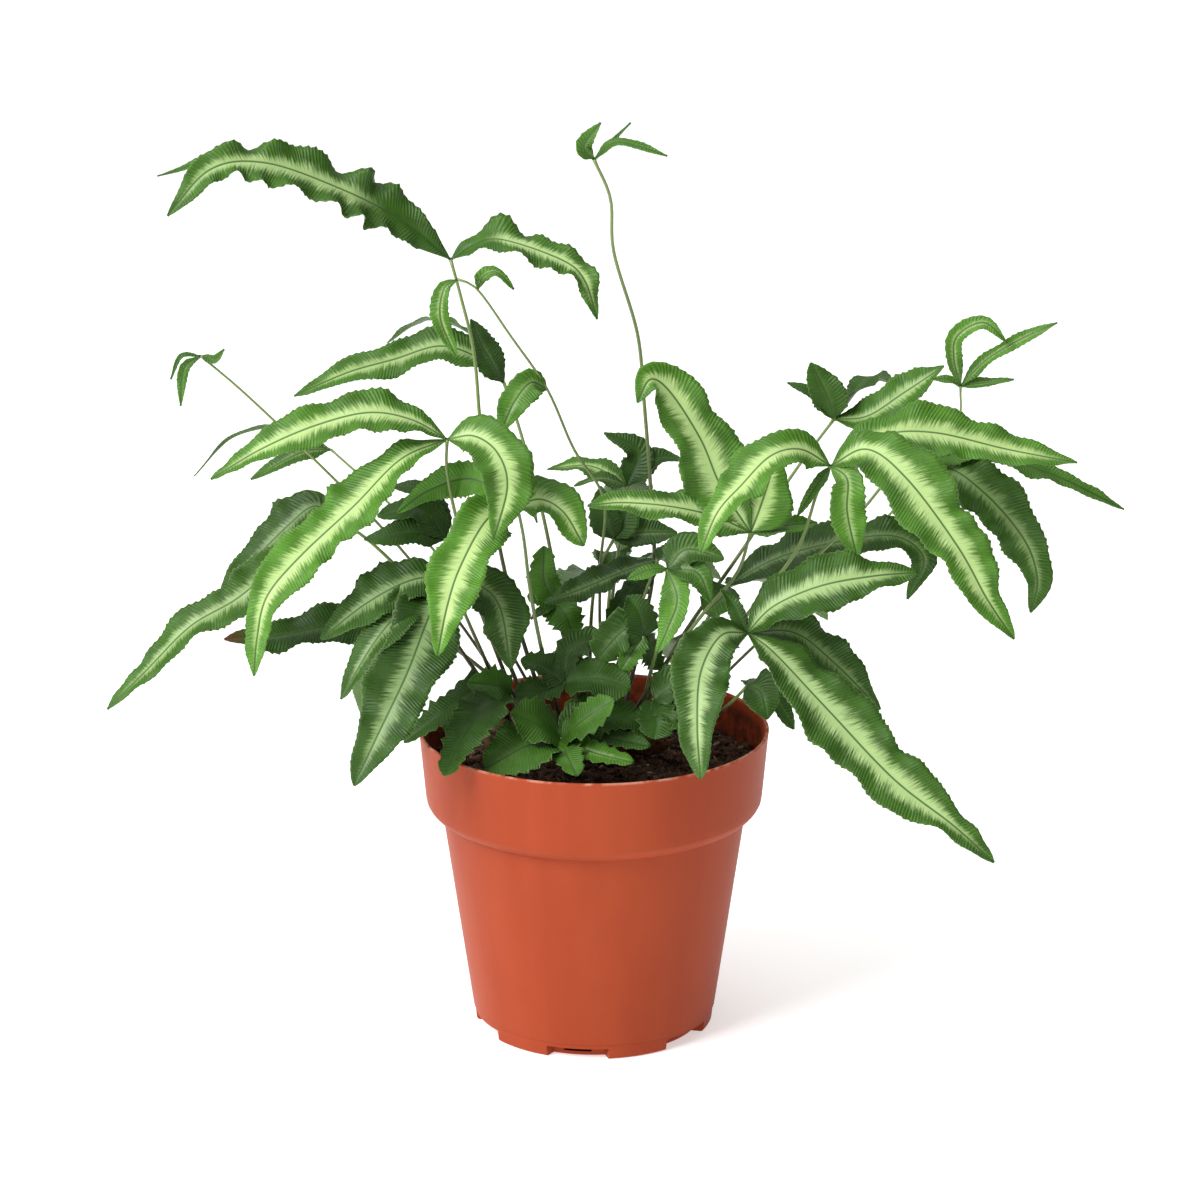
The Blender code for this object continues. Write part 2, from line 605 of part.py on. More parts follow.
def smooth_curve(points, per_span):
    """Points along the smooth curve through the given points, so many to each span.

    Between two points the curve is the cubic whose slope at each point is half the way from
    the point before to the point after.
    """
    ends = [2 * points[0] - points[1], *points, 2 * points[-1] - points[-2]]
    curve = []
    for before, start, end, after in zip(ends, ends[1:], ends[2:], ends[3:]):
        for i in range(per_span):
            t = i / per_span
            leave, arrive = (end - before) / 2, (after - start) / 2
            rise = 3 * t**2 - 2 * t**3
            bend = (t**3 - 2 * t**2 + t) * leave + (t**3 - t**2) * arrive
            curve.append(start * (1 - rise) + end * rise + bend)
    curve.append(points[-1])
    return curve


def even_path(points, steps):
    """Points at even steps along the smooth curve through the given points."""
    fine = smooth_curve(points, MIDRIB_PATH_STEPS)
    run = [0]
    for a, b in zip(fine, fine[1:]):
        run.append(run[-1] + (b - a).length)
    path, k = [], 0
    for i in range(steps + 1):
        target = run[-1] * i / steps
        while k < len(run) - 2 and run[k + 1] < target:
            k += 1
        span = run[k + 1] - run[k]
        path.append(fine[k].lerp(fine[k + 1], min(1, (target - run[k]) / span)))
    return path


def facing_vector(azimuth, elevation):
    """A unit vector: azimuth round from the front to the right, elevation up from level."""
    turn, rise = math.radians(azimuth), math.radians(elevation)
    return Vector((math.sin(turn) * math.cos(rise), -math.cos(turn) * math.cos(rise), math.sin(rise)))


def half_width(width, share):
    """Half the blade's width at a share of its length: a lance shape, widest before the middle."""
    full = 0
    if 0 < share < 1:
        full = width / 2 * math.sin(math.pi * share**BLADE_BELLY) ** BLADE_FULLNESS
    smallest = BLADE_FOOT if share < 0.5 else BLADE_TIP
    return max(full, smallest / 2)


def blade(name, points, width, facing, collection):
    """A leaflet's blade: a strip along its midrib, cupped a little, given its thickness."""
    length = sum((b - a).length for a, b in zip(points, points[1:]))
    steps = BLADE_FEWEST_STEPS + sum(length > longer for longer in BLADE_STEP_LENGTHS)
    path = even_path(points, steps)
    look = facing_vector(*facing)
    verts, faces = [], []
    for i, centre in enumerate(path):
        along = (path[min(i + 1, steps)] - path[max(i - 1, 0)]).normalized()
        across = along.cross(look).normalized()
        normal = across.cross(along)
        half = half_width(width, i / steps)
        lift = normal * half * BLADE_CUP
        verts += [centre - across * half + lift, centre, centre + across * half + lift]
    for i in range(steps):
        a = 3 * i
        faces += [(a, a + 1, a + 4, a + 3), (a + 1, a + 2, a + 5, a + 4)]
    mesh = bpy.data.meshes.new(name)
    mesh.from_pydata(verts, [], faces)
    thing = add_object(name, mesh, collection)
    solidify = thing.modifiers.new("Thickness", "SOLIDIFY")
    solidify.thickness = BLADE_THICKNESS
    solidify.offset = 0
    return as_mesh_object(thing, name, collection)


def make_frond(name, foot, green, stem, leaves, radius, parts, cutters):
    """A frond: its stem from the rhizome upwards, and its leaflets joined to it as one solid.

    Several thin blades meet in one point of the stem. The exact solver leaves holes there, and
    the manifold solver does not, so these unions use the manifold one.
    """
    foot_height = rhizome_top() + GAP + radius
    start = Vector((foot[0] * drawing_scale(), foot[1] * drawing_scale(), foot_height))
    joints = [place(*point) for point in stem]
    path = smooth_curve([start, *joints], STEM_PATH_STEPS)
    path.append(path[-1] + (path[-1] - path[-2]).normalized() * STEM_PAST_JOINT * radius)
    radii = [radius * (1 - STEM_TAPER * i / (len(path) - 1)) for i in range(len(path))]
    frond_body = tube(name, path, radii, parts)
    for i, (width, facing, points, at) in enumerate(leaves):
        midrib = [joints[at], *[place(*point) for point in points]]
        leaflet = blade(f"{name}_leaflet_{i + 1}", midrib, width * drawing_scale(), facing, cutters)
        leaflet.hide_render = True
        leaflet.display_type = "WIRE"
        combine(frond_body, leaflet, "UNION", solver="MANIFOLD")
    frond_body.data.materials.append(plain_material(f"{name}_green", green, 0.5))
    return frond_body


def main():
    clear_scene()
    parts = new_collection("potted_fern")
    cutters = new_collection("potted_fern_cutters")
    make_pot(parts, cutters)
    make_soil(parts, cutters)
    make_rhizome(parts)
    for item in FRONDS:
        make_frond(*item, parts, cutters)


main()
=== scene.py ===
# %% [markdown]
# # A potted table fern
# This notebook dresses a finished frame: a thin nursery pot, its peat, the creeping rootstock and
# 32 fronds already stand in the file as plain solids, each in its place and at its size. Here
# each one gets the surface that the eye expects: leaflets that ripple and carry a pale feathered
# band, stems that fade from brown-black to green, crumbly peat and satin moulded plastic.

import math

import bpy
import numpy as np
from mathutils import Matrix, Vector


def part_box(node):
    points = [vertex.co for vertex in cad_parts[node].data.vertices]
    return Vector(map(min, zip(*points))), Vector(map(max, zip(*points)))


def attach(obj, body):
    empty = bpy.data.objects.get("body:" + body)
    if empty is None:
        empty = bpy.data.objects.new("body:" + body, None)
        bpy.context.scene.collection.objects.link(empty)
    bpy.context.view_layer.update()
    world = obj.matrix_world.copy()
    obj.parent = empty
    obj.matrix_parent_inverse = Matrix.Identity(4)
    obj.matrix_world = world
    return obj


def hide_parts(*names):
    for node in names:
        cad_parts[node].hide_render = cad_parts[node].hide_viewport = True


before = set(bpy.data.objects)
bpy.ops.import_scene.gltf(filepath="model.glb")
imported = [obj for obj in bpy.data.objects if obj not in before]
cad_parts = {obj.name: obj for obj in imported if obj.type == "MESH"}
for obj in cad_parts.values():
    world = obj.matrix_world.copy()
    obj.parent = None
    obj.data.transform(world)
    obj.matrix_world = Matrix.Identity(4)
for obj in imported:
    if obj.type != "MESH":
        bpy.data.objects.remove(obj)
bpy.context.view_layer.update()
print(len(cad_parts), "nodes in the frame")

# %% [markdown]
# ## The eye
# The plant is looked at from the front, a little from above, through a long lens, as in a
# nursery's catalogue. The same eye serves twice: the camera stands there, and the fronds are
# laid out on a drawing seen from there. A drawing of that kind says how far right and how far up
# a leaf appears, and a third number says how far behind the pot's axis it really lies. It could
# all be written in plain X, Y and Z, but then every change of depth would move the leaf in the
# picture too.

# %% The drawing and its eye
MM = 0.001
pot_low, pot_high = (np.array(corner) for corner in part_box("pot"))
RIM_HEIGHT = pot_high[2]
RIM_RADIUS = (pot_high[0] - pot_low[0]) / 2
DRAWN_RIM_RADIUS = 52.5
DRAWING_SCALE = RIM_RADIUS / DRAWN_RIM_RADIUS
DRAWING_TILT = math.radians(17)
DRAWING_DISTANCE = 1300
DRAWING_CENTRE = (1.8, 37.8)
DRAWING_WIDTH = 360

SIDE = np.array([1.0, 0, 0])
UPWARD = np.array([0, math.sin(DRAWING_TILT), math.cos(DRAWING_TILT)])
AWAY = np.array([0, math.cos(DRAWING_TILT), -math.sin(DRAWING_TILT)])
EYE = DRAWING_CENTRE[0] * SIDE + DRAWING_CENTRE[1] * UPWARD - DRAWING_DISTANCE * AWAY


def place(points):
    """World points of drawn ones, given as rows of right, up and back in millimetres.

    Each drawn point lies on a tilted sheet through the rim's centre. The line from the eye
    through it is followed until it is as far behind the pot's axis as back says.
    """
    right, up, back = np.asarray(points, float).T
    sight = right[:, None] * SIDE + up[:, None] * UPWARD - EYE
    reach = (back - EYE[1]) / sight[:, 1]
    return (EYE + sight * reach[:, None]) * DRAWING_SCALE + np.array([0, 0, RIM_HEIGHT])


print("rim radius", round(RIM_RADIUS / MM, 2), "mm, rim height", round(RIM_HEIGHT / MM, 2), "mm")

# %% Camera
SENSOR = 36.0


def add_camera():
    """A camera at the drawing's eye, level from side to side, looking along the drawing's depth."""
    lens = bpy.data.cameras.new("camera")
    lens.sensor_width = SENSOR
    lens.lens = SENSOR * DRAWING_DISTANCE / DRAWING_WIDTH
    lens.clip_end = 20
    camera = bpy.data.objects.new("camera", lens)
    bpy.context.scene.collection.objects.link(camera)
    camera.location = EYE * DRAWING_SCALE + np.array([0, 0, RIM_HEIGHT])
    camera.rotation_euler = (math.pi / 2 - DRAWING_TILT, 0, 0)
    bpy.context.scene.camera = camera
    return camera


camera = add_camera()
print("camera at", [round(value, 3) for value in camera.location])

# %% [markdown]
# ## Floor and light
# Plants in a catalogue stand on plain white. A pale floor that runs far behind the pot glows a
# little by itself, so it can stay white while the sky is dim. A dim sky matters: the pot's shape is
# told by one large soft lamp from the left, and an even sky would flatten it.


# %% Floor, sky and lamps
def node_material(name):
    """A new material with only its Principled shader and output, and the two returned."""
    material = bpy.data.materials.new(name)
    material.use_nodes = True
    nodes = material.node_tree.nodes
    return material, nodes["Principled BSDF"]


FLOOR_GLOW = 0.5


def add_floor():
    """A wide pale floor under the pot that glows a little by itself."""
    mesh = bpy.data.meshes.new("floor")
    reach = 9.0
    corners = [(-reach, -reach, 0), (reach, -reach, 0), (reach, reach, 0), (-reach, reach, 0)]
    mesh.from_pydata(corners, [], [(0, 1, 2, 3)])
    floor = bpy.data.objects.new("floor", mesh)
    bpy.context.scene.collection.objects.link(floor)
    material, shader = node_material("floor_paper")
    shader.inputs["Base Color"].default_value = (0.9, 0.9, 0.9, 1)
    shader.inputs["Roughness"].default_value = 0.9
    shader.inputs["Emission Color"].default_value = (1, 1, 1, 1)
    shader.inputs["Emission Strength"].default_value = FLOOR_GLOW
    mesh.materials.append(material)


def add_lamp(name, place_of_lamp, target, size, power):
    """A square area lamp that looks at a target."""
    light = bpy.data.lights.new(name, "AREA")
    light.size = size
    light.energy = power
    lamp = bpy.data.objects.new(name, light)
    bpy.context.scene.collection.objects.link(lamp)
    lamp.location = place_of_lamp
    direction = np.array(place_of_lamp) - np.array(target)
    level = math.hypot(direction[0], direction[1])
    lamp.rotation_euler = (
        math.atan2(level, direction[2]),
        0,
        math.atan2(direction[1], direction[0]) + math.pi / 2,
    )


add_floor()
PLANT_MIDDLE = (0, 0, 0.14)
add_lamp("window_lamp", (-1.1, -0.9, 1.3), PLANT_MIDDLE, 0.9, 36)
add_lamp("top_lamp", (0.2, 0.3, 1.7), PLANT_MIDDLE, 1.2, 9)


SKY_LEFT, SKY_RIGHT = 0.7, 0.12


def add_sky():
    """A sky that is bright on the left and dim on the right, as beside a large window."""
    sky = bpy.data.worlds.new("sky")
    sky.use_nodes = True
    nodes, links = sky.node_tree.nodes, sky.node_tree.links
    split = nodes.new("ShaderNodeSeparateXYZ")
    links.new(nodes.new("ShaderNodeTexCoord").outputs["Generated"], split.inputs[0])
    slope = nodes.new("ShaderNodeMapRange")
    links.new(split.outputs[0], slope.inputs["Value"])
    for key, value in {"From Min": -1, "From Max": 1, "To Min": SKY_LEFT, "To Max": SKY_RIGHT}.items():
        slope.inputs[key].default_value = value
    nodes["Background"].inputs["Color"].default_value = (1, 1, 1, 1)
    links.new(slope.outputs[0], nodes["Background"].inputs["Strength"])
    bpy.context.scene.world = sky


add_sky()
bpy.context.scene.view_settings.view_transform = "Standard"

# %% [markdown]
# ## One kind of surface
# Nearly everything on this plant is a closed skin round a line: a stem, a leaflet (a very flat
# one), a crumb of peat, the pot's wall. So one helper takes rings of points, joins each ring to
# the next and draws both ends together in a point. Numpy makes the rings as whole arrays, which
# is faster and shorter than adding faces one by one.


# %% Rings into a skin
def ring_faces(rows, around, first=0):
    """The faces of a skin: quads between neighbouring rings and triangles to a pole at each end.

    The rings' points come first, ring by ring, then the start pole and the end pole.
    """
    i, j = np.meshgrid(np.arange(rows - 1), np.arange(around), indexing="ij")
    k = (j + 1) % around
    quads = np.stack([i * around + j, i * around + k, (i + 1) * around + k, (i + 1) * around + j], -1)
    edge = np.arange(around)
    after = (edge + 1) % around
    start_pole = np.full(around, rows * around)
    last = (rows - 1) * around
    head = np.stack([after, edge, start_pole], -1)
    tail = np.stack([last + edge, last + after, start_pole + 1], -1)
    return quads.reshape(-1, 4) + first, np.concatenate([head, tail]) + first


class Skin:
    """Gathers rings of points, with a value or three for each point, into one mesh."""

    def __init__(self):
        self.points, self.quads, self.triangles = [], [], []
        self.values = {}
        self.slots = []
        self.count = 0

    def add(self, rings, slot=0, **values):
        """Adds one closed skin. A pole lies at the middle of its end ring."""
        rows, around, _ = rings.shape
        poles = np.stack([rings[0].mean(0), rings[-1].mean(0)])
        points = np.concatenate([rings.reshape(-1, 3), poles])
        quads, triangles = ring_faces(rows, around, self.count)
        if self.volume(points, quads - self.count, triangles - self.count) < 0:
            quads, triangles = quads[:, ::-1], triangles[:, ::-1]
        self.points.append(points)
        self.quads.append(quads)
        self.triangles.append(triangles)
        self.slots.append((slot, len(quads), len(triangles)))
        for name, value in values.items():
            ends = np.stack([value[0].mean(0), value[-1].mean(0)])
            flat = np.concatenate([value.reshape(rows * around, -1), ends.reshape(2, -1)])
            self.values.setdefault(name, []).append(flat)
        self.count += len(points)

    @staticmethod
    def volume(points, quads, triangles):
        """Six times the volume inside the faces, which is negative when they face inwards."""
        halves = np.concatenate([quads[:, :3], quads[:, [0, 2, 3]], triangles])
        a, b, c = (points[halves[:, corner]] for corner in range(3))
        return np.einsum("ij,ij->", a - points[0], np.cross(b - points[0], c - points[0]))

    def make(self, name, materials):
        """The gathered skins as one smooth-shaded object at the origin."""
        points = np.concatenate(self.points)
        faces = [face for group in self.quads for face in group.tolist()]
        faces += [face for group in self.triangles for face in group.tolist()]
        mesh = bpy.data.meshes.new(name)
        mesh.from_pydata(points.tolist(), [], faces)
        indices = [np.full(quads, slot) for slot, quads, _ in self.slots]
        indices += [np.full(triangles, slot) for slot, _, triangles in self.slots]
        mesh.polygons.foreach_set("material_index", np.concatenate(indices).astype("i"))
        for label, parts in self.values.items():
            rows = np.concatenate(parts)
            kind = "FLOAT_VECTOR" if rows.shape[1] == 3 else "FLOAT"
            attribute = mesh.attributes.new(label, kind, "POINT")
            key = "vector" if rows.shape[1] == 3 else "value"
            attribute.data.foreach_set(key, rows.astype("f").ravel())
        for material in materials:
            mesh.materials.append(material)
        mesh.shade_smooth()
        thing = bpy.data.objects.new(name, mesh)
        bpy.context.scene.collection.objects.link(thing)
        return thing


print("a skin of 3 rings of 8 has", sum(len(part) for part in ring_faces(3, 8)), "faces")

# %% [markdown]
# ## Lines through points
# Stems and the midribs of leaflets are smooth lines through a few listed points. The
# cubic below passes through each point and takes its slope from the two neighbours, so a line
# turns without a corner. Blender's own curves would do it too, but here the line's direction is needed
# at every step, to lay a blade across it.


# %% Smooth lines
def smooth_line(points, steps):
    """Even steps along the cubic curve through the points, with slopes from the neighbours."""
    padded = np.concatenate([[2 * points[0] - points[1]], points, [2 * points[-1] - points[-2]]])
    before, start, end, after = padded[:-3], padded[1:-2], padded[2:-1], padded[3:]
    t = np.linspace(0, 1, 16, endpoint=False)[None, :, None]
    leave, arrive = (end - before)[:, None] / 2, (after - start)[:, None] / 2
    rise = 3 * t**2 - 2 * t**3
    fine = start[:, None] * (1 - rise) + end[:, None] * rise
    fine += (t**3 - 2 * t**2 + t) * leave + (t**3 - t**2) * arrive
    fine = np.concatenate([fine.reshape(-1, 3), points[-1:]])
    run = np.concatenate([[0], np.cumsum(np.linalg.norm(np.diff(fine, axis=0), axis=1))])
    at = np.linspace(0, run[-1], steps + 1)
    return np.stack([np.interp(at, run, fine[:, k]) for k in range(3)], -1), run[-1]


def unit(vectors):
    """The vectors at length one."""
    return vectors / np.linalg.norm(vectors, axis=-1, keepdims=True)


def directions(line):
    """The line's direction at each of its points."""
    return unit(np.gradient(line, axis=0))


print("a line from", smooth_line(np.eye(3), 4)[0][0], "has 5 points at 4 steps")

# %% [markdown]
# ## A leaflet
# A leaflet of this fern is a long strap: a narrow foot, nearly even sides with fine forward teeth,
# and a drawn-out tip. The blade dips to a thin grooved midrib, rises to the margins and ripples
# along them, because the margin grew longer than the middle. A flat cut-out with a leaf picture
# would read as paper from the side, so the blade is a real closed skin: an upper face, an under
# face with a raised rib, and a thin margin between them.


# %% The leaflet's surface
ACROSS = np.array([0.04, 0.13, 0.27, 0.45, 0.64, 0.83, 1.0])
TOP = np.concatenate([-ACROSS[::-1], ACROSS])
LOOP = np.concatenate([TOP, TOP[::-1]])
UNDER = np.concatenate([np.zeros_like(TOP), np.ones_like(TOP)])
TOOTH_LENGTH = 2.0 * MM
LOBE = 0.13
LOBE_LENGTH = 4.5 * MM
CUP = 0.16
TWIST_DEGREES = (5, 11)
RIPPLE_PITCHES = (9, 14)
RIPPLE_WANDER = 1.6 * MM
WANDER_LENGTH = 7 * MM
GROOVE_DEPTH = 0.22 * MM
GROOVE_WIDTH = 0.5 * MM
RIB_DEPTH = 0.45 * MM
RIB_WIDTH = 0.55 * MM
SHORTEST_HALF = 0.35 * MM
BLADE_THICKNESS = 0.34 * MM
MARGIN_THICKNESS = 0.12 * MM
RIPPLE_SWELL = 34 * MM
STEM_FRESHNESS = 0.6


def outline(share):
    """The half-width at a share of the length, from 0 to 1: foot wedge times a blunt lance."""
    lance = np.sin(np.pi * np.clip(share, 0.0, 1.0) ** 0.74) ** 0.66
    wedge = np.clip(share / 0.2, 0, 1) ** 0.45
    return lance * wedge


def facing_vector(azimuth, elevation):
    """The direction that is azimuth degrees round from the front to the right, elevation up."""
    turn, rise = math.radians(azimuth), math.radians(elevation)
    return np.array([math.sin(turn) * math.cos(rise), -math.cos(turn) * math.cos(rise), math.sin(rise)])


def add_leaflet(skin, points, width, facing, finish, wave, teeth, seed):
    """Adds a leaflet's skin along the smooth line through its points.

    Across the blade runs s, from -1 to 1. A point stands s half-widths to the side of the
    midrib, and off it by the cup (s squared), the ripple (a wave along the margin that grows
    with s squared, comes and goes and differs from side to side) and the midrib's groove. The
    teeth lengthen the half-width in threes of rows: out, half out, in. Lobes are slow swells of
    each side.
    finish is (tone, band, brown tip, bare foot).
    """
    rng = np.random.default_rng(seed)
    length = np.linalg.norm(np.diff(points, axis=0), axis=1).sum()
    steps = 3 * max(6, round(length / (TOOTH_LENGTH * math.sqrt(teeth))))
    line, length = smooth_line(points, steps)
    share = np.linspace(0, 1, steps + 1)
    along = directions(line)
    look = facing_vector(*facing)
    across = unit(np.cross(along, look))
    normal = np.cross(across, along)
    turn = np.radians(rng.uniform(*TWIST_DEGREES)) * np.sin(np.pi * (2.2 * share + rng.uniform(0, 2)))
    turn = turn[:, None]
    across, normal = (
        across * np.cos(turn) + normal * np.sin(turn),
        normal * np.cos(turn) - across * np.sin(turn),
    )
    tooth = np.array([1.0, 0.45, 0.0])[np.arange(steps + 1) % 3]
    tooth = tooth * rng.uniform(0.5, 1.3, steps + 1)
    jagged = 1 + min(0.12, 1.1 * MM / width) * teeth * (tooth - 0.5) * (share > 0.12)
    half = jagged * np.maximum(width / 2 * outline(share) ** (1 / math.sqrt(teeth)), SHORTEST_HALF)
    phases = rng.uniform(0, 2 * np.pi, 4)
    pitch = rng.uniform(*RIPPLE_PITCHES, 2) * MM
    run = share * length
    wander = run + RIPPLE_WANDER * np.sin(run / WANDER_LENGTH + phases[1])
    ripple = np.stack([
        (np.sin(2 * np.pi * wander / pitch[side] + phases[side])
         + 0.6 * np.sin(2 * np.pi * wander / (1.7 * pitch[side]) + phases[2 + side]))
        * (0.9 + 0.35 * np.sin(2 * np.pi * run / RIPPLE_SWELL + 2 * phases[2 + side]))
        for side in range(2)
    ], -1)
    s = LOOP[None, :]
    lobes = 1 + LOBE * np.sin(run[:, None] / LOBE_LENGTH + phases[:2]) * (share > 0.1)[:, None]
    size = half[:, None] * np.where(s < 0, lobes[:, :1], lobes[:, 1:])
    margin = np.where(s < 0, ripple[:, :1], ripple[:, 1:])
    fade = (np.clip(share / 0.15, 0, 1) * np.clip((1 - share) / 0.06, 0.3, 1))[:, None]
    lift = size * (CUP * s**2 + wave * margin * s**2 * fade)
    groove = GROOVE_DEPTH * np.exp(-((np.abs(s) * size / GROOVE_WIDTH) ** 2))
    groove = groove * np.clip(size / (3 * MM), 0.3, 1)
    thick = MARGIN_THICKNESS + (BLADE_THICKNESS - MARGIN_THICKNESS) * (1 - np.abs(s) ** 3)
    rib = RIB_DEPTH * np.exp(-((np.abs(s) * size / RIB_WIDTH) ** 2)) * (1.2 - share[:, None])
    height = np.where(UNDER[None, :] > 0, lift - thick / 2 - rib, lift + thick / 2 - groove)
    sideways = s * size * (1 - 0.05 * wave * np.abs(margin) * s**2)
    rings = line[:, None] + across[:, None] * sideways[..., None] + normal[:, None] * height[..., None]
    shape = rings.shape[:2]
    spread = np.stack(np.broadcast_arrays(sideways, run[:, None], size), -1) / MM
    tone, band, brown, bare = finish
    end = np.clip((share - 0.82) / 0.15, 0, 1)[:, None] * brown
    band = band * np.clip((share - bare + 0.05) / 0.12, 0, 1) * np.clip((1.05 - share) / 0.25, 0, 1)
    band = band[:, None]
    coat = np.stack(np.broadcast_arrays(tone + 0.25 * (share[:, None] - 0.4), band, UNDER[None, :]), -1)
    skin.add(rings, 0, blade=spread, coat=coat, turned=np.broadcast_to(end, shape)[..., None])


def add_stem(skin, points, radius, fresh):
    """Adds a stem: rings of ten round the smooth line, thinner towards the top.

    fresh, from 0 to 1, is how far down its brown has stayed green.
    """
    length = np.linalg.norm(np.diff(points, axis=0), axis=1).sum()
    steps = max(8, round(length / (3 * MM)))
    line, length = smooth_line(points, steps)
    along = directions(line)
    first = unit(np.cross(along, [0.13, 1.0, 0.11]))
    second = np.cross(first, along)
    share = np.linspace(0, 1, steps + 1)[:, None, None]
    angle = np.linspace(0, 2 * np.pi, 10, endpoint=False)[None, :, None]
    grown = radius * (1 - 0.35 * share) * (1 + 0.25 * np.exp(-((1 - share) * length / (1.2 * MM)) ** 2))
    groove = 1 - 0.18 * np.exp(-(((angle - np.pi) / 0.5) ** 2))
    ray = first[:, None] * np.cos(angle) + second[:, None] * np.sin(angle)
    rings = line[:, None] + grown * groove * ray
    shape = rings.shape[:2]
    turned = np.broadcast_to(share + STEM_FRESHNESS * fresh, (*shape, 1))
    skin.add(rings, 1, blade=np.zeros((*shape, 3)), coat=np.zeros((*shape, 3)), turned=turned)


print("a leaflet's section has", len(LOOP), "points")

# %% [markdown]
# ## Leaf green
# The upper face of a leaflet is dark green at the margins with a pale band along the middle, and
# the band's edge is feathered, because the pale tissue follows the veins that leave the midrib
# side by side. So the pattern needs to know where it is on the blade, not where it is in the room.
# The skin carries that along: how far to the side, how far along, and how wide the blade is here.
# Fine noise that is stretched along the veins then frays the band's edge, and the same veins make
# a light bump and painted highlight stripes on the dark green. An image could hold the pattern
# too, but it would repeat from leaf to leaf.


# %% Node helpers
class Tree:
    """Adds nodes to a material and links them as they are made."""

    def __init__(self, material):
        self.tree = material.node_tree

    def node(self, kind, settings=None, **inputs):
        """A node of a kind with its settings. Each input is a socket, or a value to keep there."""
        made = self.tree.nodes.new(kind)
        for key, value in (settings or {}).items():
            setattr(made, key, value)
        for key, value in inputs.items():
            self.feed(made, key, value)
        return made

    def feed(self, node, key, value):
        """Links a socket into an input, or sets the input's value. Keys are names or _numbers."""
        target = node.inputs[int(key[1:])] if key[0] == "_" else node.inputs[key.replace("_", " ")]
        if isinstance(value, bpy.types.NodeSocket):
            self.tree.links.new(value, target)
        else:
            target.default_value = value

    def math(self, operation, a, b=0.0, c=0.0, clamp=False):
        """What a Math operation makes of two or three values."""
        settings = {"operation": operation, "use_clamp": clamp}
        return self.node("ShaderNodeMath", settings, _0=a, _1=b, _2=c).outputs[0]

    def times(self, a, b):
        """a times b."""
        return self.math("MULTIPLY", a, b)

    def times_plus(self, a, b, c):
        """a times b plus c."""
        return self.math("MULTIPLY_ADD", a, b, c)

    def here(self):
        """Where each point of the surface is, in metres."""
        return self.node("ShaderNodeTexCoord").outputs["Object"]

    def step(self, value, low, high):
        """0 below low, 1 above high, and smooth between them."""
        settings = {"interpolation_type": "SMOOTHSTEP"}
        made = self.node("ShaderNodeMapRange", settings, Value=value, From_Min=low, From_Max=high)
        return made.outputs[0]

    def mix(self, share, a, b):
        """Colour a where share is 0 and b where it is 1."""
        made = self.node("ShaderNodeMix", {"data_type": "RGBA"})
        self.feed(made, "_0", share)
        self.feed(made, "_6", a)
        self.feed(made, "_7", b)
        return made.outputs[2]

    def noise(self, vector, scale, detail=2.0, roughness=0.5):
        """Noise around a half."""
        grain = {"Scale": scale, "Detail": detail, "Roughness": roughness}
        return self.node("ShaderNodeTexNoise", None, Vector=vector, **grain).outputs["Fac"]

    def attribute(self, name):
        """A value that the mesh carries."""
        return self.node("ShaderNodeAttribute", {"attribute_name": name})

    def split(self, vector):
        """The three parts of a vector."""
        return self.node("ShaderNodeSeparateXYZ", None, Vector=vector).outputs

    def join(self, x, y, z):
        """A vector of three parts."""
        return self.node("ShaderNodeCombineXYZ", None, X=x, Y=y, Z=z).outputs[0]

    def bump(self, height, distance, strength=1.0):
        """A normal bent by a height."""
        made = self.node("ShaderNodeBump", None, Height=height, Distance=distance, Strength=strength)
        return made.outputs["Normal"]


def colour(red, green, blue):
    """A node colour from screen values of 0 to 255."""
    screen = np.array([red, green, blue]) / 255
    return (*np.where(screen > 0.04045, ((screen + 0.055) / 1.055) ** 2.4, screen / 12.92).tolist(), 1)


print("screen grey of 128 is", round(colour(128, 128, 128)[0], 3), "to a shader")

# %% Leaf material
OLD_MARGIN = colour(42, 73, 18)
FRESH_MARGIN = colour(94, 150, 44)
OLD_BAND = colour(170, 198, 138)
FRESH_BAND = colour(202, 232, 148)
VEIN_SLANT = 0.42


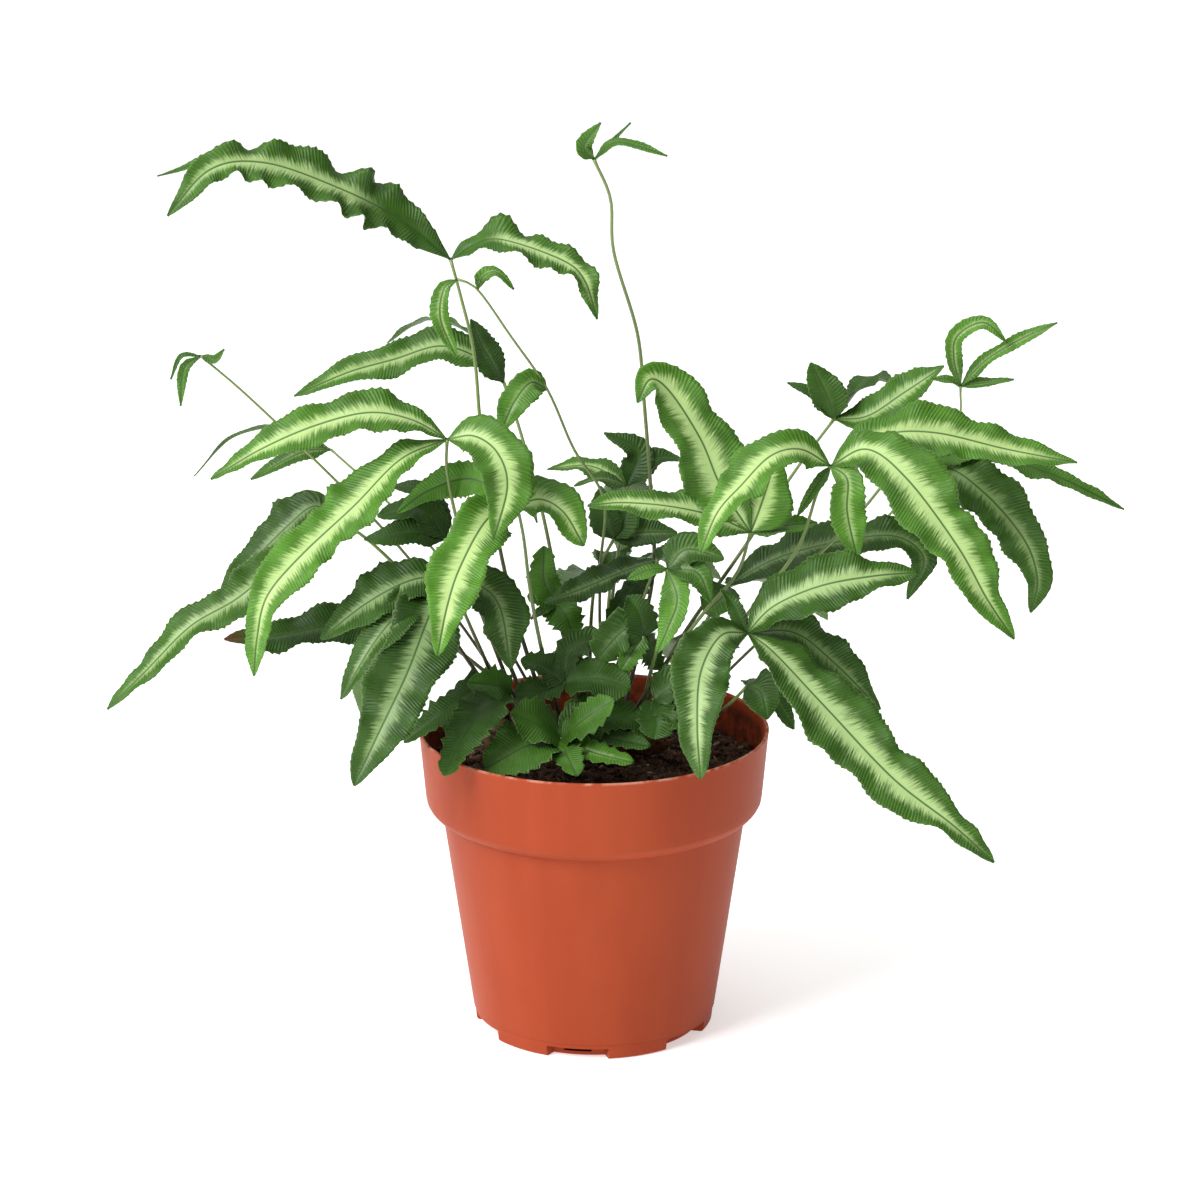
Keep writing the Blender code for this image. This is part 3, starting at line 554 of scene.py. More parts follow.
def leaf_material(name):
    """The leaf's green, its pale feathered band, midrib line, veins with painted highlight stripes,
    sheen and soft glow.
    """
    material, shader = node_material(name)
    t = Tree(material)
    side, run, half = t.split(t.attribute("blade").outputs["Vector"])
    tone, band, under = t.split(t.attribute("coat").outputs["Vector"])
    distance = t.math("ABSOLUTE", side)
    share = t.math("DIVIDE", distance, half)
    flank = t.times(t.math("SIGN", side), 40)
    vein = t.times_plus(distance, -VEIN_SLANT, run)
    fine = t.join(t.times(vein, 2.6), t.times(distance, 0.2), flank)
    streaks = t.noise(fine, 1.0, 3.0, 0.7)
    slow = t.join(t.times(vein, 0.22), t.times(distance, 0.1), flank)
    broad = t.noise(slow, 1.0, 1.0)
    edge = t.times_plus(t.math("SUBTRACT", streaks, 0.5), 1.0, share)
    edge = t.times_plus(t.math("SUBTRACT", broad, 0.5), 0.3, edge)
    reach = t.times_plus(band, 0.3, 0.1)
    inside = t.math("SUBTRACT", reach, edge)
    pale = t.times(t.step(inside, -0.2, 0.24), t.math("MULTIPLY", band, 1.15, clamp=True))

    ribs = t.math("SINE", t.times_plus(broad, 9.0, t.times(vein, 6.6)))
    ribs = t.times(t.times_plus(ribs, 0.5, 0.5), t.step(share, 0.1, 0.5))
    margin = t.mix(t.math("ADD", tone, 0.0, clamp=True), OLD_MARGIN, FRESH_MARGIN)
    patch = t.join(t.times(run, 0.15), t.times(side, 0.25), tone)
    mottle = t.noise(patch, 1.0, 3.0, 0.6)
    # Painted highlight: the vein ribs lighten the dark green in fine stripes where their ridges would
    # catch light. The mottle is the leaf's own uneven tone.
    painted_rib_highlight = t.times(ribs, t.times_plus(tone, 0.12, 0.1))
    mottle_and_rib_highlight = t.times_plus(t.math("SUBTRACT", mottle, 0.5), 1.0, t.math("ADD", painted_rib_highlight, 0.9))
    margin = t.node("ShaderNodeMix", {"data_type": "RGBA", "blend_type": "MULTIPLY"}, _0=1.0, _6=margin)
    t.feed(margin, "_7", t.join(mottle_and_rib_highlight, mottle_and_rib_highlight, mottle_and_rib_highlight))
    margin = margin.outputs[2]
    centre = t.mix(t.math("ADD", tone, 0.1, clamp=True), OLD_BAND, FRESH_BAND)
    green = t.mix(pale, margin, centre)
    # A pale line along the margin: partly the teeth's own pale tips, partly a painted edge highlight.
    rim = t.times(t.step(share, 0.94, 1.0), 0.4)
    green = t.mix(rim, green, colour(150, 178, 110))
    midrib = t.math("SUBTRACT", 1.0, t.step(distance, 0.16, 0.42))
    green = t.mix(t.times(midrib, 0.85), green, colour(54, 92, 34))
    below = t.mix(t.math("ADD", tone, 0.1, clamp=True), colour(74, 108, 58), colour(128, 170, 84))
    below = t.mix(t.times(pale, 0.35), below, colour(150, 176, 112))
    green = t.mix(under, green, below)
    green = t.mix(t.attribute("turned").outputs["Fac"], green, colour(96, 62, 34))
    t.feed(shader, "Base_Color", green)
    shader.inputs["Roughness"].default_value = 0.42
    shader.inputs["Specular IOR Level"].default_value = 0.35
    relief = t.times_plus(streaks, 0.5, ribs)
    bend = t.bump(relief, 0.16 * MM, 0.9)
    t.feed(shader, "Normal", bend)
    glow = t.node("ShaderNodeBsdfTranslucent", None, Color=green)
    blend = t.node("ShaderNodeMixShader", None, Fac=0.22)
    t.feed(blend, "_1", shader.outputs[0])
    t.feed(blend, "_2", glow.outputs[0])
    t.feed(material.node_tree.nodes["Material Output"], "Surface", blend.outputs[0])
    return material


def stem_material(name):
    """Brown-black at the foot, olive-green towards the leaflets, with a waxy sheen."""
    material, shader = node_material(name)
    t = Tree(material)
    rise = t.attribute("turned").outputs["Fac"]
    speck = t.noise(t.here(), 700.0, 2.0)
    rise = t.times_plus(t.math("SUBTRACT", speck, 0.5), 0.25, rise)
    low = t.mix(t.step(rise, 0.15, 0.65), colour(36, 27, 18), colour(74, 76, 44))
    green = t.mix(t.step(rise, 0.5, 1.05), low, colour(110, 130, 68))
    t.feed(shader, "Base_Color", green)
    shader.inputs["Roughness"].default_value = 0.35
    return material


LEAF = leaf_material("leaf_green")
STEM = stem_material("stem_olive")
print("leaf material has", len(LEAF.node_tree.nodes), "nodes")

# %% [markdown]
# ## The fronds
# Each entry below is one frond as a gardener would describe it: where its foot stands on the
# rootstock, the points that its stem passes through, and its leaflets. A leaflet has a width in
# millimetres, the way that its upper face looks, its finish (how fresh its green is, and how
# strong its pale band) and the points of its midrib after the joint. The points are the drawing's
# right, up and back.

# %% How a frond is described
STEM_RADIUS = 0.75 * MM
YOUNG_STEM_RADIUS = 0.55 * MM
FRONDS = []


def leaf(width, facing, finish, *points, at=-1, wave=0.15, teeth=1.0, brown=0.0, bare=0.0):
    """A leaflet: see above. at is the stem point that it starts from, wave how much its margins
    ripple, teeth how coarse they are toothed, brown how dead its tip is and bare the share of
    its length that shows no band at its foot."""
    return width, facing, (*finish, brown, bare), points, at, wave, teeth


def broad_leaf(*parts, wave=0.12, **more):
    """A short coarsely toothed leaflet, as the first leaves of a fern have."""
    return leaf(*parts, wave=wave, teeth=3, **more)


def frond(name, foot, stem, *leaves, radius=STEM_RADIUS):
    """Notes a frond: its foot's place on the rootstock in mm, its stem's points and its leaflets."""
    FRONDS.append((name, foot, stem, leaves, radius))


# %% [markdown]
# The left half is built as it is seen: one long wavy frond high up, a big bright one in front,
# and darker, older ones behind and below them.

# %% Fronds high up and on the left
frond(
    "high_left", (-13, 2),
    [(-24, 35, 4), (-31, 68, 8), (-34, 90, 11), (-36, 112, 14), (-40, 129, 16), (-43, 140, 17)],
    leaf(16, (0, 40), (0.3, 0.75), (-58, 152, 14), (-78, 162, 8), (-99, 169, 2), (-115, 167, -3),
         (-128, 153, -8), wave=0.36, bare=0.3),
    leaf(11.5, (20, 50), (0.4, 0.8), (-37, 144, 16), (-28, 146, 14), (-10, 140, 10),
         (-3, 134, 7), (1, 122, 6), wave=0.32, bare=0.25),
    leaf(6, (0, 60), (0.3, 0.2), (-70, 160, 24), (-105, 171, 22), (-131, 165, 18)),
)
frond(
    "arching_young", (5, 2),
    [(2, 26, 6), (2, 48, 10), (3, 68, 12), (-6, 83, 10), (-14, 101, 6), (-25, 117, 2),
     (-35, 131, 0), (-41, 134, -1)],
    leaf(5.4, (0, 25), (0.75, 0.6), (-45, 131, -3), (-46, 122, -4), (-41, 110, -4)),
    leaf(2.5, (0, 25), (0.7, 0.3), (-47, 130, 4), (-48, 120, 4)),
    leaf(4.4, (30, 40), (0.7, 0.4), (-33, 135, -2), (-29, 136, -3), (-24, 131, -3), at=6),
    leaf(10, (0, 35), (0.6, 0.35), (-19, 103, 2), (-24, 97, -3), (-28, 88, -5), at=4),
    radius=YOUNG_STEM_RADIUS,
)
frond(
    "left_main", (-17, -2), [(-30, 30, -4), (-40, 58, -8), (-44, 76, -9), (-44, 86, -10)],
    leaf(14, (0, 50), (0.6, 0.85), (-55, 92, -12), (-68, 94, -14), (-84, 90, -16),
         (-100, 83, -19), (-115, 74, -22)),
    leaf(16.5, (-15, 45), (0.75, 0.85), (-58, 80, -16), (-72, 66, -24), (-88, 51, -32),
         (-98, 39, -38), (-101, 27, -41), (-102, 15, -43)),
    leaf(17, (15, 40), (0.6, 0.85), (-36, 87, -13), (-29, 82, -19), (-26, 72, -25),
         (-30, 56, -30)),
)
frond(
    "front_centre", (-9, -2), [(-15, 20, -6), (-19, 40, -9), (-21, 56, -12), (-23, 66, -14)],
    leaf(10, (0, 25), (0.85, 0.05), (-36, 74, -6), (-49, 71, -2), (-59, 64, -1)),
    leaf(17.5, (0, 30), (0.85, 0.9), (-32, 62, -22), (-40, 48, -35), (-44, 36, -45),
         (-47, 21, -53)),
    leaf(15, (20, 40), (0.6, 0.75), (-16, 68, -15), (-9, 64, -18), (-3, 54, -20)),
)
frond(
    "back_left", (-5, 3), [(-9, 30, 16), (-15, 62, 32), (-22, 88, 44), (-27, 103, 50)],
    leaf(12, (0, 45), (0.45, 0.7), (-34, 110, 52), (-46, 114, 54), (-60, 110, 54),
         (-74, 106, 52), (-90, 99, 48)),
    leaf(9, (180, 70), (0.2, 0.3), (-36, 117, 56), (-50, 122, 64), (-62, 115, 70)),
    leaf(9, (0, 50), (0.15, 0.2), (-33, 113, 48), (-37, 122, 46)),
)
frond(
    "far_left_young", (-20, 2),
    [(-36, 25, 10), (-52, 46, 18), (-66, 62, 24), (-86, 82, 28), (-105, 100, 30),
     (-118, 111, 30)],
    leaf(3, (0, 30), (0.5, 0.3), (-123, 107, 28), (-124, 96, 27)),
    leaf(1.6, (0, 30), (0.4, 0.1), (-124, 111, 30), (-127, 104, 30)),
    leaf(2.6, (0, 30), (0.5, 0.2), (-114, 110, 29), (-111, 113, 28)),
    radius=YOUNG_STEM_RADIUS,
)
frond(
    "left_back", (-13, 5), [(-30, 30, 22), (-50, 55, 36), (-68, 73, 46), (-79, 83, 52)],
    leaf(4, (180, 70), (0.1, 0.1), (-90, 90, 55), (-108, 87, 56), (-120, 75, 54)),
    leaf(7, (0, 50), (0.3, 0.4), (-88, 82, 50), (-103, 74, 46)),
    leaf(10, (180, 65), (0.2, 0.5), (-76, 63, 58), (-86, 53, 72), (-95, 42, 82), at=2),
    radius=YOUNG_STEM_RADIUS,
)
frond(
    "far_left_dark", (-24, 0), [(-38, 20, 4), (-54, 42, 6), (-68, 56, 6), (-78, 62, 5)],
    leaf(14, (0, 50), (0.12, 0.4), (-84, 66, 6), (-92, 60, 4), (-102, 50, 2), (-112, 40, 0)),
    leaf(13, (0, 50), (0.3, 0.6), (-90, 53, 0), (-106, 39, -4), (-121, 30, -7), (-134, 17, -9),
         (-146, 5, -10)),
)
frond(
    "left_low_back", (-17, 4), [(-30, 14, 12), (-46, 26, 18), (-60, 31, 19)],
    leaf(13, (0, 45), (0.08, 0.12), (-79, 30, 18), (-95, 27, 15), (-111, 26, 12), wave=0.22,
         brown=1.0),
    leaf(13, (180, 60), (0.15, 0.35), (-64, 26, 34), (-68, 16, 50), (-70, 4, 62)),
)
frond(
    "left_front", (-24, -4), [(-31, 16, -9), (-38, 32, -16), (-43, 44, -21)],
    leaf(15, (0, 45), (0.15, 0.5), (-54, 44, -25), (-68, 37, -29), (-82, 26, -32)),
    leaf(12, (-20, 40), (0.15, 0.45), (-56, 36, -30), (-66, 25, -37), (-76, 8, -42)),
    leaf(21, (0, 35), (0.1, 0.5), (-49, 34, -31), (-56, 16, -42), (-65, -3, -52), (-72, -18, -58)),
    leaf(16, (25, 30), (0.12, 0.4), (-34, 42, -25), (-28, 35, -29), (-25, 17, -32)),
)
frond(
    "left_small_dark", (-20, -3), [(-30, 24, -4), (-38, 44, -6), (-44, 56, -3)],
    leaf(10, (0, 45), (0.15, 0.05), (-54, 58, -1), (-69, 56, 0)),
    leaf(10, (0, 40), (0.1, 0.0), (-52, 65, 1), (-65, 63, 3)),
    leaf(7, (0, 60), (0.05, 0.0), (-50, 70, 6), (-62, 72, 10)),
)
print(len(FRONDS), "fronds so far")

# %% [markdown]
# The right half hangs lower. Its oldest fronds bend out over the rim, and one young one stands
# high at the far end.

# %% Fronds on the right
frond(
    "centre_pale", (9, 0), [(21, 18, -2), (33, 34, -4), (43, 46, -4), (47, 58, -4)],
    leaf(20, (0, 40), (0.6, 1.0), (38, 72, -5), (32, 86, -4), (23, 100, -4), (17, 104, -7),
         (13, 97, -12)),
    leaf(13, (0, 50), (0.5, 0.95), (36, 63, -8), (22, 66, -12), (8, 67, -14), (-2, 66, -14)),
    leaf(17, (20, 35), (0.7, 0.95), (50, 66, -2), (53, 76, 2), (52, 82, 5)),
    leaf(7, (0, 55), (0.6, 0.2), (57, 60, -1), (67, 61, 2)),
)
frond(
    "right_main", (17, -1),
    [(34, 18, -4), (48, 36, -8), (61, 53, -10), (67, 70, -11), (71, 78, -12)],
    leaf(15, (-15, 50), (0.75, 0.9), (62, 83, -16), (53, 81, -22), (44, 72, -28), (37, 64, -32),
         (32, 52, -35)),
    leaf(17, (0, 55), (0.7, 0.85), (86, 87, -10), (102, 88, -8), (124, 83, -7), (145, 79, -6)),
    leaf(20, (10, 40), (0.6, 0.9), (82, 83, -18), (94, 74, -28), (109, 54, -38), (118, 38, -44),
         (126, 26, -47)),
    leaf(11, (0, 20), (0.8, 0.5), (76, 74, -17), (76, 64, -19), (79, 50, -20)),
    leaf(4, (0, 30), (0.5, 0.2), (66, 71, -15), (61, 63, -16)),
)
frond(
    "right_outer", (20, 2), [(38, 20, 4), (58, 42, 6), (78, 62, 10), (88, 74, 14)],
    leaf(17, (0, 45), (0.3, 0.5), (104, 78, 15), (117, 70, 10), (129, 56, 6), (133, 44, 4),
         (131, 34, 3), wave=0.28),
    leaf(9, (0, 60), (0.55, 0.05), (112, 82, 18), (136, 76, 18), (159, 65, 16)),
    leaf(12, (180, 60), (0.3, 0.3), (90, 82, 30), (92, 84, 48), (92, 76, 64)),
)
frond(
    "right_back", (12, 4), [(26, 26, 20), (44, 52, 34), (60, 76, 42), (72, 92, 44)],
    leaf(11, (-20, 40), (0.3, 0.1), (70, 99, 43), (65, 109, 42)),
    leaf(10, (180, 70), (0.15, 0.1), (79, 101, 48), (84, 105, 54), (91, 102, 58)),
    leaf(5, (0, 60), (0.15, 0.0), (65, 100, 46), (58, 103, 47)),
    leaf(13, (0, 50), (0.45, 0.65), (82, 93, 42), (93, 100, 40), (105, 108, 38)),
)
frond(
    "right_top_young", (24, 3),
    [(46, 22, 20), (74, 48, 32), (98, 74, 36), (109, 90, 34), (110, 102, 32)],
    leaf(5.5, (0, 30), (0.8, 0.55), (108, 110, 30), (109, 117, 29), (117, 121, 28),
         (124, 115, 27)),
    leaf(5, (0, 45), (0.7, 0.5), (118, 110, 31), (128, 116, 30), (139, 121, 29)),
    leaf(4, (0, 60), (0.7, 0.5), (118, 103, 32), (126, 104, 32)),
    leaf(3, (0, 60), (0.7, 0.3), (106, 104, 32), (101, 104, 31)),
    radius=YOUNG_STEM_RADIUS,
)
frond(
    "right_front", (20, -4), [(28, 6, -12), (38, 18, -22), (46, 28, -28)],
    leaf(18.5, (0, 50), (0.25, 0.8), (54, 36, -30), (68, 42, -30), (84, 45, -28), (97, 46, -26)),
    leaf(16.5, (-10, 30), (0.2, 0.8), (38, 27, -36), (32, 16, -47), (31, 0, -56), (32, -16, -60)),
    leaf(20.5, (15, 45), (0.3, 0.9), (54, 22, -36), (70, 5, -46), (90, -16, -56),
         (108, -30, -64), (120, -41, -69)),
    leaf(16, (25, 45), (0.2, 0.45), (60, 28, -24), (72, 19, -22), (86, 5, -21)),
    leaf(5, (0, 40), (0.15, 0.1), (42, 36, -26), (38, 41, -26)),
)
frond(
    "long_dark", (16, 3), [(26, 18, 10), (34, 32, 17), (40, 42, 20)],
    leaf(15, (0, 55), (0.1, 0.35), (54, 50, 20), (72, 55, 20), (90, 57, 18), (99, 50, 14),
         (94, 38, 10)),
    leaf(14, (180, 55), (0.2, 0.35), (48, 44, 36), (60, 42, 54), (70, 32, 68)),
    leaf(12, (0, 40), (0.2, 0.15), (38, 38, 14), (33, 34, 11), wave=0.2, teeth=2.5),
)
print(len(FRONDS), "fronds so far")

# %% [markdown]
# Between the halves stand darker fronds, seen edge on or half hidden, and the thin new one that
# rises above the rest.

# %% Fronds in the middle
frond(
    "centre_dark", (2, -3), [(7, 18, -4), (14, 36, -2), (19, 50, 2)],
    leaf(10, (0, 50), (0.0, 0.35), (8, 46, 0), (-4, 41, -2), (-15, 37, -3), wave=0.34),
    broad_leaf(8, (0, 30), (0.1, 0.0), (9, 38, 5), (4, 31, 6), wave=0.25),
    leaf(11, (180, 60), (0.1, 0.25), (25, 53, 12), (31, 55, 22), (35, 52, 32)),
)
frond(
    "bright_curl", (13, -3), [(17, 16, -10), (21, 32, -16), (22, 47, -18)],
    leaf(9, (-20, 30), (0.8, 0.3), (25, 38, -23), (22, 29, -25), (19, 22, -26)),
    leaf(5, (0, 50), (0.6, 0.2), (17, 47, -19), (10, 44, -20)),
    leaf(12, (0, 45), (0.2, 0.3), (28, 53, -17), (39, 50, -18)),
    leaf(8, (10, 35), (0.3, 0.3), (31, 46, -21), (35, 37, -24)),
)
frond(
    "centre_back", (1, 4), [(4, 26, 18), (7, 50, 26), (10, 72, 31)],
    leaf(9, (0, 50), (0.1, 0.0), (13, 82, 33), (3, 88, 34)),
    leaf(8, (0, 60), (0.1, 0.0), (18, 80, 33), (27, 80, 34)),
    leaf(8, (0, 80), (0.25, 0.3), (2, 74, 31), (-6, 72, 31)),
    leaf(9, (0, 65), (0.4, 0.7), (-1, 78, 40), (-14, 77, 46)),
    leaf(14, (180, 50), (0.2, 0.45), (10, 74, 48), (10, 66, 68), (9, 50, 84)),
)
frond(
    "centre_upright", (-1, 1), [(-1, 28, 8), (1, 46, 14), (6, 56, 18)],
    leaf(9, (0, 30), (0.25, 0.1), (9, 62, 19), (11, 70, 21)),
    leaf(10, (15, 35), (0.1, 0.3), (14, 58, 19), (25, 58, 20)),
    leaf(9, (-15, 30), (0.1, 0.1), (3, 64, 19), (2, 72, 20)),
)
frond(
    "tallest", (8, 3),
    [(14, 26, 15), (18, 48, 24), (17, 72, 28), (15, 98, 28), (13, 118, 26), (6, 142, 23),
     (5, 158, 20), (0, 170, 18)],
    leaf(4.5, (0, 20), (0.5, 0.2), (-3, 174, 17), (2, 181, 16)),
    leaf(1.6, (0, 40), (0.5, 0.1), (5, 175, 18), (11, 181, 18)),
    leaf(3.6, (0, 50), (0.5, 0.2), (6, 175, 14), (13, 174, 12), (22, 171, 10)),
)
frond(
    "centre_bright", (-3, 0), [(-6, 14, 4), (-9, 26, 8), (-12, 37, 10)],
    broad_leaf(10, (0, 35), (0.5, 0.05), (-15, 44, 10), (-15, 54, 11), wave=0.2),
    broad_leaf(8, (-15, 40), (0.35, 0.0), (-16, 38, 8), (-20, 39, 7), wave=0.2),
    broad_leaf(11, (0, 40), (0.45, 0.05), (-9, 34, 6), (-6, 27, 4), wave=0.15),
    leaf(4, (-15, 50), (0.1, 0.0), (-15, 35, 6), (-19, 32, 5), brown=1.0),
)
frond(
    "centre_low", (5, -5), [(9, 12, -9), (15, 27, -12)],
    broad_leaf(13, (0, 20), (0.15, 0.2), (10, 29, -13), (6, 26, -13), (1, 20, -13), wave=0.18),
    broad_leaf(8, (0, 30), (0.4, 0.2), (12, 23, -14), (8, 17, -17), wave=0.2),
    broad_leaf(11, (10, 25), (0.1, 0.0), (14, 33, -12), (10, 39, -12), wave=0.2),
    broad_leaf(9, (15, 35), (0.12, 0.0), (17, 22, -7), (20, 17, -7), wave=0.2),
)
frond(
    "back_full", (2, 6), [(3, 16, 18), (4, 32, 32), (5, 44, 42)],
    leaf(14, (180, 60), (0.12, 0.3), (14, 50, 50), (26, 50, 62), (38, 44, 74), wave=0.14),
    leaf(14, (180, 60), (0.12, 0.3), (-2, 46, 52), (-8, 42, 63), (-12, 36, 74), wave=0.14),
    leaf(12, (180, 60), (0.1, 0.2), (5, 52, 56), (6, 50, 69), (7, 43, 80), wave=0.14),
)
print(len(FRONDS), "fronds so far")

# %% [markdown]
# The first leaves of a fern are short, broad and coarsely toothed. They lie over the peat and
# hide the rootstock.

# %% Low fronds
frond(
    "low_left", (-17, -5), [(-20, 2, -11), (-25, 9, -15)],
    broad_leaf(11, (-20, 55), (0.15, 0.05), (-35, 11, -16), (-45, 4, -18), (-57, -5, -20),
               wave=0.16),
    broad_leaf(13, (-10, 50), (0.2, 0.05), (-32, 6, -26), (-39, -3, -36), (-45, -15, -45),
               wave=0.2),
    broad_leaf(11, (0, 50), (0.4, 0.0), (-29, 12, -17), (-38, 13, -17), wave=0.14),
)
frond(
    "low_front", (-5, -5), [(-7, 0, -14), (-10, -4, -22)],
    broad_leaf(17, (0, 55), (0.35, 0.12), (-20, -6, -29), (-33, -13, -34)),
    broad_leaf(11, (0, 50), (0.35, 0.12), (-3, 2, -27), (6, 8, -28)),
    broad_leaf(9, (0, 60), (0.45, 0.1), (-8, -9, -32), (-5, -15, -40)),
    broad_leaf(15, (0, 55), (0.25, 0.0), (-16, 0, -25), (-25, 4, -27), wave=0.1),
    broad_leaf(9, (10, 60), (0.6, 0.35), (0, -8, -30), (12, -11, -33), wave=0.1),
    broad_leaf(14, (5, 50), (0.2, 0.0), (-2, 2, -20), (8, 3, -18), (20, -2, -20)),
    broad_leaf(9, (5, 60), (0.15, 0.0), (-2, -3, -23), (7, -4, -24), (17, -6, -26)),
)
frond(
    "low_centre", (-1, -5), [(-4, 5, -11), (-9, 13, -14)],
    broad_leaf(15, (0, 50), (0.12, 0.1), (-4, 14, -16), (3, 14, -17), (11, 11, -18)),
    broad_leaf(9, (0, 45), (0.1, 0.1), (-8, 22, -9), (-2, 26, -6), (5, 25, -5), wave=0.2),
    broad_leaf(9, (-15, 50), (0.05, 0.0), (-16, 18, -12), (-22, 20, -11), wave=0.18),
    broad_leaf(10, (-20, 50), (0.1, 0.0), (-16, 11, -15), (-24, 10, -14), wave=0.18),
)
frond(
    "low_right", (9, -5), [(14, 2, -11), (18, 8, -14)],
    broad_leaf(12, (0, 50), (0.15, 0.1), (24, 13, -14), (29, 9, -16), wave=0.15),
    broad_leaf(12, (0, 55), (0.1, 0.0), (19, 3, -20), (18, -4, -26), wave=0.15),
    broad_leaf(9, (10, 60), (0.15, 0.1), (23, 4, -19), (28, -1, -24), wave=0.15),
)
frond(
    "small_right", (24, -2), [(33, 2, -2), (40, 6, -4), (46, 12, -6)],
    leaf(12, (0, 45), (0.15, 0.2), (50, 10, -12), (52, 2, -18)),
    leaf(9, (20, 50), (0.15, 0.2), (54, 8, -4), (60, -1, -6)),
    leaf(9, (180, 60), (0.15, 0.3), (50, 14, 6), (54, 12, 16)),
)
frond(
    "centre_low_back", (5, 5), [(8, 14, 18), (13, 24, 26)],
    leaf(13, (180, 60), (0.15, 0.3), (18, 26, 40), (24, 23, 56), (30, 12, 72), wave=0.14),
    leaf(13, (180, 60), (0.15, 0.3), (6, 26, 40), (-6, 23, 56), (-16, 12, 72), wave=0.14),
)
print(len(FRONDS), "fronds with", sum(len(item[3]) for item in FRONDS), "leaflets")

# %% Build the fronds
rhizome_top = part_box("rhizome")[1].z
FOOT_GAP = 0.3 * MM


def stand_in(piece, node):
    """Hides a node whose place a piece takes, and hangs the piece on the plant, with which it stands
    still.
    """
    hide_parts(node)
    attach(piece, "root")


def build_frond(number, name, foot, stem, leaves, radius):
    """One frond: the stem's skin from the rootstock up, and a skin for each leaflet."""
    skin = Skin()
    foot_height = rhizome_top + FOOT_GAP + radius
    start = np.array([foot[0] * DRAWING_SCALE, foot[1] * DRAWING_SCALE, foot_height])
    joints = place(stem)
    freshest = max(finish[0] for _, _, finish, *_ in leaves)
    add_stem(skin, np.concatenate([[start], joints]), radius, min(freshest, 1))
    for count, (width, facing, finish, points, at, wave, teeth) in enumerate(leaves):
        midrib = np.concatenate([[joints[at]], place(points)])
        seed = 100 * number + count
        add_leaflet(skin, midrib, width * DRAWING_SCALE, facing, finish, wave, teeth, seed)
    piece = skin.make(f"fern_{name}", [LEAF, STEM])
    stand_in(piece, f"frond_{name}")
    return piece


fern = [build_frond(number, *item) for number, item in enumerate(FRONDS)]
print("fern faces:", sum(len(piece.data.polygons) for piece in fern))

# %% [markdown]
# ## The pot
# A nursery pot is pressed from thin plastic, so every edge is a little soft and its shape is a
# profile turned round an axis. The profile is read as a radius for each height. Only the foot
# breaks the rule: six shallow notches let water out, and in each one a drain hole is a shallow dent
# painted near-black as painted shade for the dark inside a hole. Both are cut by drawing the skin
# inwards where a point lies inside a notch, which keeps the whole pot one clean grid of rings. A round
# flat-shaded cylinder would do for the silhouette, but the soft shoulder and the fine line above
# the foot are what the light shows.

# %% The pot's profile
WALL = 1.2 * MM
PROFILE_HEIGHTS = np.array(
    [0, 0.3, 0.8, 4.8, 5.0, 5.2, 67, 67.2, 67.7, 68.6, 69.6, 70.8, 72.5, 91.9, 92.5, 92.85, 93]
)
PROFILE_RADII = np.array(
    [35.2, 35.7, 36, 36.4, 36.5, 36.8, 45.7, 46.5, 47.6, 48.8, 49.7, 50.35, 50.65, 52.4, 52.5,
     52.3, 51.9]
)
NOTCH_TURN = math.radians(-98)
NOTCH_HALF_ANGLE = math.radians(14.9)
NOTCH_HEIGHT = 3.5 * MM
NOTCH_DEPTH = 3.2 * MM
DRAIN_HALF_ANGLE = math.radians(7)
DRAIN_DEPTH = 0.9 * MM


def outside_radius(height):
    """The pot's outside radius at each height."""
    return np.interp(height, PROFILE_HEIGHTS * MM, PROFILE_RADII * DRAWING_SCALE)


def from_notch(angle):
    """How far round each angle is from the middle of the nearest of the six notches."""
    return np.abs((angle - NOTCH_TURN + math.pi / 6) % (math.pi / 3) - math.pi / 6)


print("radius at the shoulder", round(float(outside_radius(0.069)) / MM, 1), "mm")


# %% Pot
def pot_material(name):
    """Satin terracotta-coloured plastic: fine mould grain, faint flow marks, a painted highlight along
    the lip, peat dust and painted shade on the inner wall, painted shade in the drain dents.
    """
    material, shader = node_material(name)
    t = Tree(material)
    here = t.here()
    x, y, z = t.split(here)
    stretched = t.join(*(t.times(part, by) for part, by in ((x, 60.0), (y, 60.0), (z, 9.0))))
    flow = t.noise(stretched, 1.0, 4.0)
    grain = t.noise(here, 1100.0, 3.0, 0.6)
    cloud = t.noise(here, 35.0, 3.0)
    warm = t.mix(t.step(flow, 0.3, 0.7), colour(154, 62, 33), colour(162, 68, 37))
    warm = t.mix(t.times(t.step(cloud, 0.45, 0.75), 0.3), warm, colour(146, 57, 31))
    # Painted highlight: a pale band along the top of the lip, broken by noise.
    lip = t.times(t.step(z, 92.2 * MM, 92.9 * MM), t.step(t.noise(here, 300.0), 0.35, 0.6))
    warm = t.mix(t.times(lip, 0.55), warm, colour(214, 160, 138))
    # Peat dust and painted shade: the inner wall below the lip turns dark brown in noisy patches.
    reach = t.math("SQRT", t.math("ADD", t.times(x, x), t.times(y, y)))
    within = t.times(t.step(reach, 51.4 * MM, 50.9 * MM), t.step(z, 92 * MM, 88 * MM))
    peat_dust_and_painted_shade = t.times(within, t.step(t.noise(here, 220.0, 4.0, 0.7), 0.3, 0.62))
    peat_dust_and_painted_shade = t.times(peat_dust_and_painted_shade, t.attribute("inside").outputs["Fac"])
    warm = t.mix(t.times(peat_dust_and_painted_shade, 0.8), warm, colour(58, 36, 27))
    # Painted shade: the drain dents are painted near-black, standing in for the dark inside a hole.
    warm = t.mix(t.attribute("dark").outputs["Fac"], warm, colour(30, 18, 14))
    t.feed(shader, "Base_Color", warm)
    t.feed(shader, "Roughness", t.times_plus(cloud, 0.14, 0.42))
    shader.inputs["Specular IOR Level"].default_value = 0.12
    t.feed(shader, "Normal", t.bump(grain, 0.02 * MM, 0.5))
    return material


